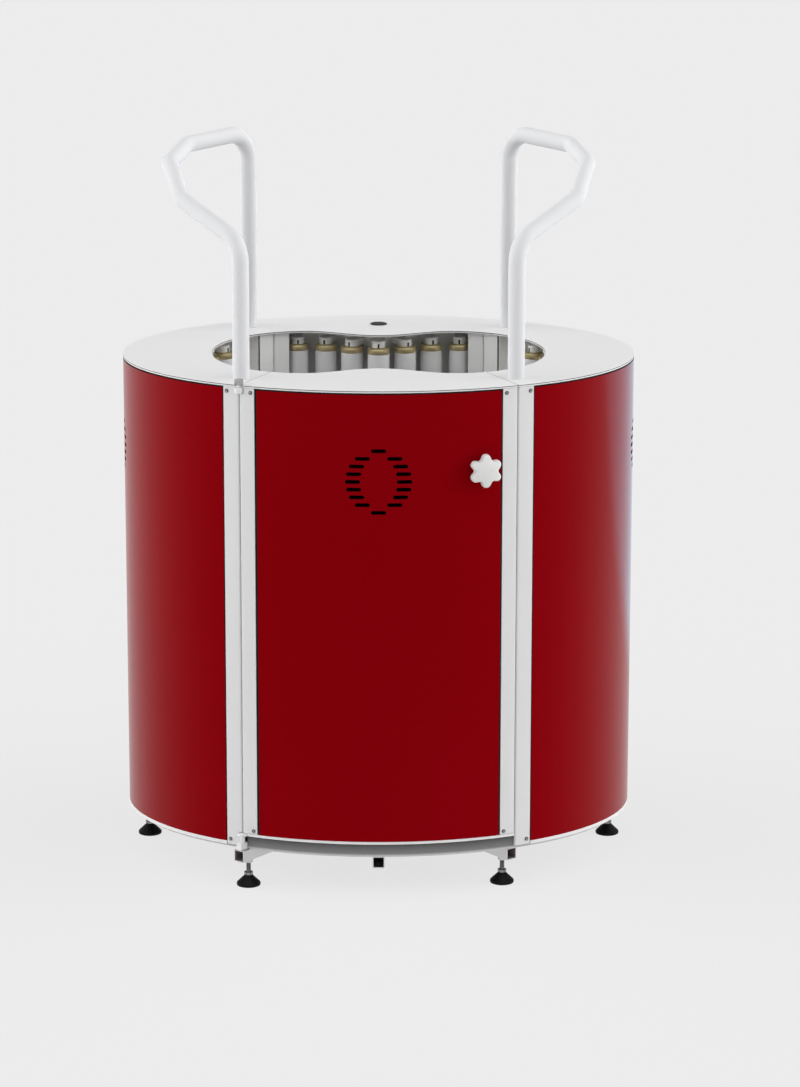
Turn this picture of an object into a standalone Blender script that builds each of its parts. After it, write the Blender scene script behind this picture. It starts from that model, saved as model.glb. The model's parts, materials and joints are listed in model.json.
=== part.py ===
"""Leg tanning unit: an oval cabinet that stands on six levelling feet.

Four sections, each with its own bank of seven ultraviolet lamps and a cooling fan, stand round
a well for the legs. The front section is a door, hung on the left. Two bent-tube hand rails
rise from the top plate. Metres, +Z up, the door faces -Y, and the origin lies on the floor
below the middle of the cabinet.
"""
import math

import bmesh
import bpy
from mathutils import Matrix, Vector

for old in list(bpy.data.objects):
    bpy.data.objects.remove(old, do_unlink=True)

# Driving dimensions, in metres unless the name says degrees.
CASE_WIDTH = 0.860
CASE_DEPTH = 0.650
PLATE_TOP = 0.8555
PLATE_THICKNESS = 0.004
PANEL_SHEET = 0.002
POST_SHEET = 0.002
SEAT_GAP = 0.0003
SEAM_GAP = 0.0008
SIDE_PANEL_GAP = 0.0006
DOOR_PANEL_GAP = 0.0016
PANEL_TOP_GAP = 0.0008
RIM_STEP_DEGREES = 6.0
ROUND_SIDES = 16
SMOOTH_DEGREES = 35.0

DOOR_WIDTH = 0.453
DOOR_STRIP = 0.027
SIDE_STRIP = 0.029
INNER_FLANGE = 0.027
FLANGE_SETBACK = 0.0075
POST_BEND_RADIUS = 0.003
POST_BEND_STEPS = 2
DOOR_BOTTOM_THICKNESS = 0.0048
DOOR_FLOOR_GAP = 0.0012
SIDE_PANEL_DROP = 0.0165

OPENING_WIDTH = 0.562
OPENING_LOBE_DEPTH = 0.364
OPENING_WAIST_DEPTH = 0.286
LOBE_SPACING = 0.250
OPENING_STEPS = 11

LAMPS_PER_BANK = 7
LAMP_DIAMETER = 0.038
LAMP_LENGTH = 0.590
LAMP_PITCH = 0.0485
LAMP_SETBACK = 0.011
LAMP_SIDES = 9
LAMP_CAP_BEVEL = 0.0025
HOLDER_WIDTH = 0.022
HOLDER_HEIGHT = 0.012
HOLDER_TAIL = 0.004
HOLDER_DROP = 0.0115
REFLECTOR_SHEET = 0.0015
REFLECTOR_GAP = 0.008
REFLECTOR_END_GAP = 0.0005
REFLECTOR_FOLD = 0.036

FOOT_HEIGHT = 0.046
FOOT_PAD_DIAMETER = 0.040
FOOT_PAD_EDGE = 0.0045
FOOT_PAD_HEIGHT = 0.018
FOOT_NECK_DIAMETER = 0.0125
FOOT_LOCK_NUT_HEIGHT = 0.0055
FOOT_STUD_DIAMETER = 0.008
FOOT_STUD_REACH = 0.010
FOOT_NUT_WIDTH = 0.013
FOOT_NUT_HEIGHT = 0.0065
FOOT_HOLE_SIDES = 10
FOOT_SIDES = 12
FOOT_INSET = 0.025
BASE_SETBACK = 0.016
TUBE_SIZE = 0.020
TUBE_WALL = 0.0016
TUBE_OVERHANG = 0.010
TUBE_INSET = 0.0075
HUB_RADIUS = 0.050
PLATFORM_THICKNESS = 0.0217
PLATFORM_INSET = 0.0045

HINGE_NUT_WIDTH = 0.013
HINGE_NUT_HEIGHT = 0.009
HINGE_PIN_DIAMETER = 0.008
PIVOT_BLOCK_LENGTH = 0.020
PIVOT_BLOCK_WIDTH = 0.010
PIVOT_BLOCK_HEIGHT = 0.0115
PIVOT_LUG_DIAMETER = 0.016
RUNNING_GAP = 0.0004

VENT_DROP = 0.1505
VENT_RADIUS = 0.0545
VENT_ROWS = 9
VENT_ROW_PITCH = 0.0128
VENT_SLOT_LENGTH = 0.0237
VENT_SLOT_HEIGHT = 0.0055
FAN_SIZE = 0.120
FAN_DEPTH = 0.038
FAN_BORE = 0.113
FAN_SPIDER = 0.004
FAN_STRUT = 0.006
FAN_HUB_DIAMETER = 0.052
FAN_HUB_LENGTH = 0.026
FAN_BLADES = 5
FAN_BLADE_SHEET = 0.0022
FAN_TIP_GAP = 0.0025
FAN_SEAT_GAP = 0.0011
FAN_ROOT_PITCH_DEGREES = 48.0
FAN_TIP_PITCH_DEGREES = 32.0
FAN_SIDES = 20

KNOB_OFFSET = 0.169
KNOB_DROP = 0.1345
KNOB_DIAMETER = 0.0578
KNOB_LOBES = 6
KNOB_LOBE_DEPTH = 0.0084
KNOB_THICKNESS = 0.017
KNOB_BACK_ROUND = 0.0026
KNOB_FACE_ROUND = 0.0042
KNOB_STEM_DIAMETER = 0.026
KNOB_STEM_LENGTH = 0.009
SPINDLE_DIAMETER = 0.008
CAM_DEPTH = 0.016
CAM_THICKNESS = 0.004
CAM_WIDTH = 0.016
CAM_REACH = 0.080
LATCH_SLOT_MARGIN = 0.0045

HANDLE_DIAMETER = 0.028
HANDLE_LEG_INWARD = 0.053
HANDLE_LEG_SIDEWAYS = 0.0217
HANDLE_DEPTH_BELOW_PLATE = 0.115
HANDLE_SHOULDER_OUT = 0.1005
HANDLE_SHOULDER_Y = 0.100
HANDLE_APEX_OUT = 0.1235
HANDLE_RISES = (0.2225, 0.276, 0.320, 0.3355, 0.340)
HANDLE_BEND_RADIUS = 0.045
HANDLE_BEND_STEPS = 3
HANDLE_ROUNDNESS = 3

BUTTON_SETBACK = 0.042
BUTTON_DIAMETER = 0.018
BUTTON_EDGE = 0.0012
BUTTON_TRAVEL = 0.0025
BEZEL_DIAMETER = 0.029
BEZEL_FLANGE = 0.0012
BEZEL_BARREL_DIAMETER = 0.023
BEZEL_BARREL_LENGTH = 0.028
BEZEL_SIDES = 18

GLAND_HEIGHT = 0.150
GLAND_THREAD_DIAMETER = 0.016
GLAND_HEX_WIDTH = 0.022
GLAND_HEX_HEIGHT = 0.0035
GLAND_DOME_DIAMETER = 0.0176
GLAND_DOME_HEIGHT = 0.0035
GLAND_NOSE_DIAMETER = 0.0112
GLAND_THREAD_LENGTH = 0.0095
GLAND_BORE = 0.008
GLAND_SIDES = 12

# Levels and half sizes that follow from the driving dimensions.
RIM_A = CASE_WIDTH / 2
RIM_B = CASE_DEPTH / 2
TUBE_TOP = FOOT_HEIGHT + TUBE_SIZE
PLATFORM_BOTTOM = TUBE_TOP + SEAT_GAP
PLATFORM_TOP = PLATFORM_BOTTOM + PLATFORM_THICKNESS
PLATE_UNDERSIDE = PLATE_TOP - PLATE_THICKNESS
POST_TOP = PLATE_UNDERSIDE - SEAT_GAP
POST_FOOT = PLATFORM_TOP + SEAT_GAP
SKIRT_BOTTOM = PLATFORM_TOP - SIDE_PANEL_DROP
DOOR_BOTTOM = PLATFORM_TOP + DOOR_FLOOR_GAP
DOOR_FLOOR = DOOR_BOTTOM + DOOR_BOTTOM_THICKNESS
PANEL_TOP = PLATE_UNDERSIDE - PANEL_TOP_GAP
HOLDER_TOP = PLATE_UNDERSIDE - HOLDER_DROP
LAMP_TOP = HOLDER_TOP - HOLDER_HEIGHT - SEAT_GAP
LAMP_BOTTOM = LAMP_TOP - LAMP_LENGTH
LAMP_LINE = LAMP_SETBACK + LAMP_DIAMETER / 2
REFLECTOR_LINE = LAMP_SETBACK + LAMP_DIAMETER + REFLECTOR_GAP
VENT_HEIGHT = PLATE_TOP - VENT_DROP
KNOB_HEIGHT = PLATE_TOP - KNOB_DROP
BUTTON_Y = OPENING_WAIST_DEPTH / 2 + REFLECTOR_LINE + BUTTON_SETBACK
SEAM_ANGLE = math.asin(DOOR_WIDTH / 2 / RIM_A)
KNOB_ANGLE = math.asin(KNOB_OFFSET / RIM_A)


def finish(name, colour, roughness, metallic=0.0):
    """A plain Principled material."""
    made = bpy.data.materials.new(name)
    made.use_nodes = True
    shader = made.node_tree.nodes["Principled BSDF"]
    shader.inputs["Base Color"].default_value = (*colour, 1.0)
    shader.inputs["Roughness"].default_value = roughness
    shader.inputs["Metallic"].default_value = metallic
    return made


RED_GLOSS = finish("red_gloss", (0.27, 0.003, 0.006), 0.18)
WHITE_PAINT = finish("white_paint", (0.78, 0.78, 0.78), 0.35)
GREY_PAINT = finish("grey_paint", (0.55, 0.56, 0.57), 0.45)
MIRROR_SHEET = finish("reflector_sheet", (0.80, 0.80, 0.80), 0.12, 1.0)
LAMP_GLASS = finish("lamp_tube", (0.58, 0.57, 0.60), 0.30)
BARE_STEEL = finish("bare_steel", (0.62, 0.62, 0.62), 0.30, 1.0)
BLACK_PLASTIC = finish("black_plastic", (0.015, 0.015, 0.016), 0.45)
BLACK_RUBBER = finish("black_rubber", (0.02, 0.02, 0.02), 0.70)
WHITE_PLASTIC = finish("white_plastic", (0.82, 0.82, 0.80), 0.40)


def place(name, shape, material, smooth=False, parent=None, matrix=None):
    """Turns a bmesh into a named object; a parent empty marks the joint that carries it."""
    bmesh.ops.recalc_face_normals(shape, faces=shape.faces[:])
    mesh = bpy.data.meshes.new(name)
    shape.to_mesh(mesh)
    shape.free()
    mesh.materials.append(material)
    if smooth:
        mesh.shade_smooth()
        mesh.set_sharp_from_angle(angle=math.radians(SMOOTH_DEGREES))
    made = bpy.data.objects.new(name, mesh)
    bpy.context.scene.collection.objects.link(made)
    if matrix is not None:
        made.matrix_world = matrix
    if parent is not None:
        made.parent = parent
        made.matrix_parent_inverse = parent.matrix_basis.inverted()
    return made


def joint_axis(name, matrix):
    """An empty whose Z axis is a joint's axis."""
    axis = bpy.data.objects.new(name, None)
    bpy.context.scene.collection.objects.link(axis)
    axis.matrix_basis = matrix
    return axis


def combine(target, shape, operation, matrix=None):
    """Cuts a helper shape out of a piece, or joins it on, with a live Boolean."""
    name = f"{target.name}.{operation.lower()}.{len(target.modifiers)}"
    helper = place(name, shape, BARE_STEEL, matrix=matrix)
    helper.hide_render = True
    helper.display_type = 'WIRE'
    step = target.modifiers.new(helper.name, 'BOOLEAN')
    step.operation = operation
    step.object = helper
    step.solver = 'EXACT'


def cut(target, shape, matrix=None):
    combine(target, shape, 'DIFFERENCE', matrix)


def join(target, shape, matrix=None):
    combine(target, shape, 'UNION', matrix)


def prism(outline, low, high, into=None):
    """A flat outline of (x, y) points, extruded from one level to another."""
    shape = into or bmesh.new()
    bottom = [shape.verts.new((x, y, low)) for x, y in outline]
    top = [shape.verts.new((x, y, high)) for x, y in outline]
    shape.faces.new(bottom[::-1])
    shape.faces.new(top)
    for i in range(len(outline)):
        j = (i + 1) % len(outline)
        shape.faces.new((bottom[i], bottom[j], top[j], top[i]))
    return shape


def stack(rings):
    """Joins rings of points, all of one count, into a closed skin with flat ends."""
    shape = bmesh.new()
    loops = [[shape.verts.new(point) for point in ring] for ring in rings]
    shape.faces.new(loops[0][::-1])
    shape.faces.new(loops[-1])
    for lower, upper in zip(loops, loops[1:]):
        for i in range(len(lower)):
            j = (i + 1) % len(lower)
            shape.faces.new((lower[i], lower[j], upper[j], upper[i]))
    return shape


def circle(radius, sides, centre=(0.0, 0.0)):
    points = []
    for i in range(sides):
        angle = 2 * math.pi * i / sides
        points.append((centre[0] + radius * math.cos(angle), centre[1] + radius * math.sin(angle)))
    return points


def hexagon(width, points=6):
    """A hexagon of the given width over its flats; with twelve points, one lies midway along each side."""
    ring = []
    for i in range(points):
        angle = 2 * math.pi * i / points
        from_flat = abs(angle % (math.pi / 3) - math.pi / 6)
        radius = width / 2 / math.cos(from_flat)
        ring.append((radius * math.cos(angle), radius * math.sin(angle)))
    return ring


def layers(levels):
    """Joins flat rings, each with its own level, into a closed skin."""
    return stack([[(x, y, z) for x, y in ring] for ring, z in levels])


def turned(profile, sides):
    """A lathe shape from (radius, z) points that run up the outside."""
    return layers([(circle(radius, sides), z) for radius, z in profile])


def cylinder(centre, radius, low, high, sides=ROUND_SIDES, into=None):
    return prism(circle(radius, sides, centre), low, high, into)


def rectangle(width, depth):
    x = width / 2
    y = depth / 2
    return [(-x, -y), (x, -y), (x, y), (-x, y)]


def rounded_corner(before, corner, after, radius, steps):
    """The arc that takes the place of a corner of a path."""
    back = (before - corner).normalized()
    ahead = (after - corner).normalized()
    half = back.angle(ahead) / 2
    length = radius / math.tan(half)
    centre = corner + (back + ahead).normalized() * radius / math.sin(half)
    first = (corner + back * length - centre).normalized()
    last = (corner + ahead * length - centre).normalized()
    return [centre + radius * first.slerp(last, step / steps) for step in range(steps + 1)]


# The oval rim of the cabinet. Angle zero is the middle of the door, a right angle is the right side.
def rim_normal(angle):
    return Vector((RIM_B * math.sin(angle), -RIM_A * math.cos(angle))).normalized()


def rim(angle, inset=0.0):
    return Vector((RIM_A * math.sin(angle), -RIM_B * math.cos(angle))) - inset * rim_normal(angle)


def rim_walk(angle, distance):
    """The rim angle a given length further round."""
    steps = 24
    for _ in range(steps):
        speed = math.hypot(RIM_A * math.cos(angle), RIM_B * math.sin(angle))
        angle += distance / steps / speed
    return angle


def rim_arc(start, end, inset=0.0):
    count = max(2, math.ceil(abs(end - start) / math.radians(RIM_STEP_DEGREES)))
    return [rim(start + (end - start) * i / count, inset) for i in range(count + 1)]


# The edge of the leg well: two rounded lobes with a soft waist between them. A turn of one is a
# quarter of the way round, from the middle of the door to the right-hand tip.
def opening_quarter(turn):
    half_lobe = OPENING_LOBE_DEPTH / 2
    half_waist = OPENING_WAIST_DEPTH / 2
    lobe_x = LOBE_SPACING / 2
    if turn < 0.5:
        swing = math.cos(math.pi * turn / 0.5)
        return lobe_x * turn / 0.5, (half_lobe + half_waist) / 2 - (half_lobe - half_waist) / 2 * swing
    swing = (turn - 0.5) * math.pi
    return lobe_x + (OPENING_WIDTH / 2 - lobe_x) * math.sin(swing), half_lobe * math.cos(swing)


def opening_edge(turn):
    quarter, part = divmod(turn % 4.0, 1.0)
    x, y = opening_quarter(part if quarter % 2 == 0 else 1.0 - part)
    return Vector((x if quarter < 2 else -x, -y if quarter in (0, 3) else y))


def opening(turn, setback=0.0):
    """A point behind the well's edge, squared off from it."""
    small = 1e-4
    along = (opening_edge(turn + small) - opening_edge(turn - small)).normalized()
    return opening_edge(turn) + setback * Vector((along.y, -along.x))


def opening_walk(turn, setback, distance):
    """The turn at a given length along a line behind the well's edge."""
    steps = 60
    small = 1e-3
    for _ in range(steps):
        speed = (opening(turn + small, setback) - opening(turn - small, setback)).length / (2 * small)
        turn += distance / steps / speed
    return turn


def opening_arc(start, end, setback=0.0):
    count = max(2, math.ceil(abs(end - start) * OPENING_STEPS))
    return [opening(start + (end - start) * i / count, setback) for i in range(count + 1)]


# The seam at the right edge of the door runs square to the rim. A positive reach is outside the door.
SEAM_POINT = rim(SEAM_ANGLE)
SEAM_INWARD = -rim_normal(SEAM_ANGLE)
SEAM_SIDEWAYS = Vector((SEAM_INWARD.y, -SEAM_INWARD.x))
HINGE_POINT = Vector((-SEAM_POINT.x, SEAM_POINT.y))
HANDLE_LEG = SEAM_POINT + HANDLE_LEG_INWARD * SEAM_INWARD + HANDLE_LEG_SIDEWAYS * SEAM_SIDEWAYS


def seam_reach(point):
    return (point - SEAM_POINT).dot(SEAM_SIDEWAYS)


def opening_at_seam(reach, setback=0.0):
    """The turn at which a line behind the well's edge stands off the seam by the given reach."""
    low, high = 0.0, 1.0
    for _ in range(50):
        middle = (low + high) / 2
        if seam_reach(opening(middle, setback)) < reach:
            low = middle
        else:
            high = middle
    return low


def ribbon(path, thickness):
    """The outline of a bent sheet: a path and its copy, set off to the left by the thickness."""
    copy = []
    for i, point in enumerate(path):
        before = (point - path[i - 1]).normalized() if i > 0 else None
        after = (path[i + 1] - point).normalized() if i + 1 < len(path) else None
        before, after = before or after, after or before
        left_before = Vector((-before.y, before.x))
        left_after = Vector((-after.y, after.x))
        copy.append(point + thickness * (left_before + left_after) / (1 + left_before.dot(left_after)))
    return path + copy[::-1]


def mirrored(points, flip_x, flip_y):
    return [(-x if flip_x else x, -y if flip_y else y) for x, y in points]


# Base frame: four square tubes, welded across each other a little behind the middle and left open
# at the ends. Each arm but those to the front and the back has a nut below it for a levelling foot.
BASE_CENTRE = Vector((0, BASE_SETBACK))
HINGE_ARM = (HINGE_POINT - BASE_CENTRE).normalized()
ARMS = {
    "front": Vector((0, -1)), "back": Vector((0, 1)),
    "left": Vector((-1, 0)), "right": Vector((1, 0)),
    "front_left": HINGE_ARM, "back_right": -HINGE_ARM,
    "front_right": Vector((-HINGE_ARM.x, HINGE_ARM.y)), "back_left": Vector((HINGE_ARM.x, -HINGE_ARM.y)),
}


def rim_distance(direction):
    """How far the rim is from the middle of the base, in the given direction."""
    square = (direction.x / RIM_A) ** 2 + (direction.y / RIM_B) ** 2
    half = BASE_SETBACK * direction.y / RIM_B ** 2
    rest = (BASE_SETBACK / RIM_B) ** 2 - 1
    return (math.sqrt(half ** 2 - square * rest) - half) / square


def arm_end(name):
    """Length of an arm. The one below the hinge stands out past the rim, to carry the pivot block."""
    return rim_distance(ARMS[name]) + (TUBE_OVERHANG if name == "front_left" else -TUBE_INSET)


FOOT_PLACES = {f"foot_{name}": BASE_CENTRE + direction * (arm_end(name) - FOOT_INSET)
               for name, direction in ARMS.items() if name not in ("front", "back")}


def tube_along(direction, start, end, size):
    """Plan of a tube that runs along an arm, between two distances from the middle of the base."""
    across = Vector((-direction.y, direction.x)) * size / 2
    near = BASE_CENTRE + direction * start
    far = BASE_CENTRE + direction * end
    return [near - across, far - across, far + across, near + across]


def through_tube(name, opposite):
    outline = tube_along(ARMS[name], -arm_end(opposite), arm_end(name), TUBE_SIZE)
    return prism(outline, FOOT_HEIGHT, TUBE_TOP)


def build_base():
    frame = place("base_frame", through_tube("front", "back"), BARE_STEEL)
    join(frame, through_tube("left", "right"))
    join(frame, through_tube("front_left", "back_right"))
    join(frame, through_tube("front_right", "back_left"))
    nuts = bmesh.new()
    holes = bmesh.new()
    for spot in FOOT_PLACES.values():
        outline = [spot + Vector(corner) for corner in hexagon(FOOT_NUT_WIDTH)]
        prism(outline, FOOT_HEIGHT - FOOT_NUT_HEIGHT, FOOT_HEIGHT + TUBE_WALL / 2, nuts)
        cylinder(spot, FOOT_STUD_DIAMETER / 2 + RUNNING_GAP, FOOT_HEIGHT - 2 * FOOT_NUT_HEIGHT,
                 FOOT_HEIGHT + 2 * TUBE_WALL, FOOT_HOLE_SIDES, holes)
    join(frame, nuts)
    bores = bmesh.new()
    for name, direction in ARMS.items():
        bore = tube_along(direction, HUB_RADIUS, arm_end(name) + TUBE_SIZE, TUBE_SIZE - 2 * TUBE_WALL)
        prism(bore, FOOT_HEIGHT + TUBE_WALL, TUBE_TOP - TUBE_WALL, bores)
    cut(frame, bores)
    cut(frame, holes)


def build_feet():
    """Levelling feet: a coned pad and a lock nut on a stud that screws up through the nut on the tube."""
    pad = circle(FOOT_PAD_DIAMETER / 2, FOOT_SIDES)
    neck = circle(FOOT_NECK_DIAMETER / 2, FOOT_SIDES)
    nut = hexagon(FOOT_NUT_WIDTH, FOOT_SIDES)
    stud = circle(FOOT_STUD_DIAMETER / 2, FOOT_SIDES)
    nut_top = FOOT_PAD_HEIGHT + FOOT_LOCK_NUT_HEIGHT
    levels = ((pad, 0), (pad, FOOT_PAD_EDGE), (neck, FOOT_PAD_HEIGHT), (nut, FOOT_PAD_HEIGHT),
              (nut, nut_top), (stud, nut_top), (stud, FOOT_HEIGHT + FOOT_STUD_REACH))
    for name, spot in FOOT_PLACES.items():
        matrix = Matrix.Translation((spot.x, spot.y, 0))
        axis = joint_axis(name + "_axis", matrix)
        place(name, layers(levels), BLACK_RUBBER, smooth=True, parent=axis, matrix=matrix)


def platform_edge(inset):
    return rim_arc(0, 2 * math.pi, inset)[:-1]


def build_platform():
    outline = platform_edge(PLATFORM_INSET)
    floor = place("foot_platform", prism(outline, PLATFORM_BOTTOM, PLATFORM_TOP), GREY_PAINT)
    cut(floor, *pivot_clearance(PLATFORM_TOP + SEAT_GAP))


# Door hinge: a bolt through both plates with a nut above and below, and a pivot block on the base tube.
HINGE_TURN = math.atan2(HINGE_ARM.y, HINGE_ARM.x)
HINGE_FRAME = Matrix.Translation((HINGE_POINT.x, HINGE_POINT.y, 0)) @ Matrix.Rotation(HINGE_TURN, 4, 'Z')
PIVOT_BASE = TUBE_TOP + SEAT_GAP
PIVOT_TOP = PIVOT_BASE + PIVOT_BLOCK_HEIGHT


def hinge_clearance(diameter, low, high):
    """Room for what turns about the hinge, or stands still while the door turns round it."""
    return cylinder(HINGE_POINT, diameter / 2 + RUNNING_GAP, low, high)


def nut_clearance():
    low = POST_TOP - HINGE_NUT_HEIGHT - SEAT_GAP
    return hinge_clearance(2 * HINGE_NUT_WIDTH / math.sqrt(3), low, PLATE_TOP)


def lug_clearance():
    return hinge_clearance(PIVOT_LUG_DIAMETER, DOOR_BOTTOM - RUNNING_GAP, DOOR_FLOOR + RUNNING_GAP)


def pivot_clearance(high):
    """A slot for the pivot block, up to the given level."""
    outline = rectangle(PIVOT_BLOCK_LENGTH + 2 * SEAT_GAP, PIVOT_BLOCK_WIDTH + 2 * SEAT_GAP)
    return prism(outline, 0, high), HINGE_FRAME


def pin_hole():
    return hinge_clearance(HINGE_PIN_DIAMETER, 0, PLATE_TOP + PLATE_THICKNESS)


def build_hinge():
    nut = hexagon(HINGE_NUT_WIDTH)
    upper = PLATE_TOP + SEAT_GAP
    lower = PLATE_UNDERSIDE - SEAT_GAP
    overlap = HINGE_NUT_HEIGHT / 2
    bolt = cylinder((0, 0), HINGE_PIN_DIAMETER / 2, lower - overlap, upper + overlap)
    pin = place("upper_hinge_pin", bolt, BARE_STEEL, matrix=HINGE_FRAME)
    join(pin, prism(nut, upper, upper + HINGE_NUT_HEIGHT), HINGE_FRAME)
    join(pin, prism(nut, lower - HINGE_NUT_HEIGHT, lower), HINGE_FRAME)
    block = prism(rectangle(PIVOT_BLOCK_LENGTH, PIVOT_BLOCK_WIDTH), PIVOT_BASE, PIVOT_TOP)
    pivot = place("lower_pivot_block", block, BARE_STEEL, matrix=HINGE_FRAME)
    spigot = cylinder((0, 0), HINGE_PIN_DIAMETER / 2, PIVOT_TOP - PIVOT_BLOCK_HEIGHT / 2, DOOR_FLOOR)
    join(pivot, spigot, HINGE_FRAME)


# Posts: bent channels that close each section, with an outer strip, a web on the seam and an inner face.
def post_path(strip, side):
    """Right front corner. Side is 1 for the fixed section and -1 for the door."""
    web = side * SEAM_GAP / 2
    edge = rim_walk(SEAM_ANGLE, side * strip)
    corner = rim_walk(SEAM_ANGLE, web)
    inner_turn = opening_at_seam(web, FLANGE_SETBACK)
    inner = opening(inner_turn, FLANGE_SETBACK)
    flange_end = opening(opening_walk(inner_turn, FLANGE_SETBACK, side * INNER_FLANGE), FLANGE_SETBACK)
    outer = rim_arc(edge, corner)
    bend = rounded_corner(outer[-2], outer[-1], inner, POST_BEND_RADIUS, POST_BEND_STEPS)
    fold = rounded_corner(outer[-1], inner, flange_end, POST_BEND_RADIUS, POST_BEND_STEPS)
    return outer[:-1] + bend + fold + [flange_end]


def post_outline(strip, side):
    return ribbon(post_path(strip, side), -side * POST_SHEET)


SIDE_POST = post_outline(SIDE_STRIP, 1)
DOOR_POST = post_outline(DOOR_STRIP, -1)


def latch_slot():
    """Slot through both webs at the lock side, where the latch cam crosses the seam as it swings."""
    start = rim(KNOB_ANGLE, CAM_DEPTH + CAM_THICKNESS / 2)
    out = rim_normal(KNOB_ANGLE)
    along = Vector((-out.y, out.x))
    middle = start - along * seam_reach(start) / along.dot(SEAM_SIDEWAYS)
    turn = math.atan2(SEAM_INWARD.y, SEAM_INWARD.x)
    outline = rectangle(CAM_THICKNESS + 2 * LATCH_SLOT_MARGIN, SEAM_GAP + 4 * POST_SHEET)
    slot = prism(outline, KNOB_HEIGHT - CAM_WIDTH, KNOB_HEIGHT + CAM_REACH - CAM_WIDTH / 2)
    return slot, Matrix.Translation((middle.x, middle.y, 0)) @ Matrix.Rotation(turn, 4, 'Z')


def build_posts(door_axis):
    for front in (True, False):
        for left in (True, False):
            name = f"{'left' if left else 'right'}_{'front' if front else 'back'}_post"
            outline = mirrored(SIDE_POST, left, not front)
            post = place(name, prism(outline, SKIRT_BOTTOM, POST_TOP), WHITE_PAINT)
            cut(post, prism(platform_edge(PLATFORM_INSET - SEAT_GAP), 0, POST_FOOT))
            if front and left:
                cut(post, *pivot_clearance(PIVOT_TOP + SEAT_GAP))
                cut(post, hinge_clearance(HINGE_PIN_DIAMETER, PIVOT_BASE, DOOR_FLOOR))
                cut(post, lug_clearance())
                cut(post, nut_clearance())
            if front and not left:
                cut(post, *latch_slot())
    for left in (True, False):
        name = f"back_{'left' if left else 'right'}_post"
        back = place(name, prism(mirrored(DOOR_POST, left, True), SKIRT_BOTTOM, POST_TOP), WHITE_PAINT)
        cut(back, prism(platform_edge(PLATFORM_INSET - SEAT_GAP), 0, POST_FOOT))
        name = "door_hinge_post" if left else "door_lock_post"
        post = place(name, prism(mirrored(DOOR_POST, left, False), DOOR_FLOOR + SEAT_GAP, POST_TOP),
                     WHITE_PAINT, parent=door_axis)
        if left:
            cut(post, nut_clearance())
        else:
            cut(post, *latch_slot())


# Top plates, and the door's bottom plate, all cut along the seams.
def sector(reach, setback=0.0):
    """Outline between the rim and the well, on the door's side of the seams."""
    angle = rim_walk(SEAM_ANGLE, -reach)
    turn = opening_at_seam(-reach, setback)
    return rim_arc(-angle, angle) + opening_arc(turn, -turn, setback)


def build_plates(door_axis):
    reach = SEAM_GAP / 2
    angle = rim_walk(SEAM_ANGLE, reach)
    turn = opening_at_seam(reach)
    ring = rim_arc(angle, 2 * math.pi - angle) + opening_arc(4 - turn, turn)
    plate = place("top_plate", prism(ring, PLATE_UNDERSIDE, PLATE_TOP), WHITE_PAINT)
    above = PLATE_TOP + PLATE_THICKNESS
    holes = cylinder((0, BUTTON_Y), BEZEL_BARREL_DIAMETER / 2 + SEAT_GAP, 0, above)
    for side_x in (-1, 1):
        for side_y in (-1, 1):
            spot = (side_x * HANDLE_LEG.x, side_y * HANDLE_LEG.y)
            cylinder(spot, HANDLE_DIAMETER / 2 + RUNNING_GAP, 0, above, into=holes)
    cut(plate, holes)
    cut(plate, pin_hole())
    lid = prism(sector(reach), PLATE_UNDERSIDE, PLATE_TOP)
    door_plate = place("door_top_plate", lid, WHITE_PAINT, parent=door_axis)
    cut(door_plate, pin_hole())
    sole = prism(sector(reach, FLANGE_SETBACK), DOOR_BOTTOM, DOOR_FLOOR)
    floor = place("door_bottom_plate", sole, WHITE_PAINT, parent=door_axis)
    join(floor, cylinder(HINGE_POINT, PIVOT_LUG_DIAMETER / 2, DOOR_BOTTOM, DOOR_FLOOR))
    cut(floor, pin_hole())


# Panels: thin curved sheets with a round group of vent slots, and a fan behind each group.
def vent_slots():
    """Cutters for the slots, in a plane whose Z axis points out of the panel."""
    slots = bmesh.new()
    last = (VENT_ROWS - 1) // 2
    end = VENT_SLOT_HEIGHT / 2
    for row in range(-last, last + 1):
        height = row * VENT_ROW_PITCH
        outer = math.sqrt(VENT_RADIUS ** 2 - height ** 2) - VENT_SLOT_LENGTH / 2
        for middle in ((0.0,) if abs(row) == last else (-outer, outer)):
            outline = []
            for side in (1, -1):
                for step in range(4):
                    angle = math.pi * (step / 3 - 0.5) + (0 if side > 0 else math.pi)
                    reach = side * (VENT_SLOT_LENGTH / 2 - end)
                    outline.append((middle + reach + end * math.cos(angle), height + end * math.sin(angle)))
            prism(outline, -FAN_DEPTH / 2, FAN_DEPTH / 2, slots)
    return slots


def facing(angle, inset, height):
    """A frame on the rim at the given angle: X along the wall, Y up and Z out."""
    out = rim_normal(angle)
    spot = rim(angle, inset)
    rows = ((-out.y, 0, out.x, spot.x), (out.x, 0, out.y, spot.y), (0, 1, 0, height), (0, 0, 0, 1))
    return Matrix(rows)


def build_panel(name, start, end, bottom, parent=None):
    outline = rim_arc(start, end) + rim_arc(end, start, PANEL_SHEET)
    panel = place(name, prism(outline, bottom, PANEL_TOP), RED_GLOSS, smooth=True, parent=parent)
    cut(panel, vent_slots(), facing((start + end) / 2, 0, VENT_HEIGHT))
    return panel


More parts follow.
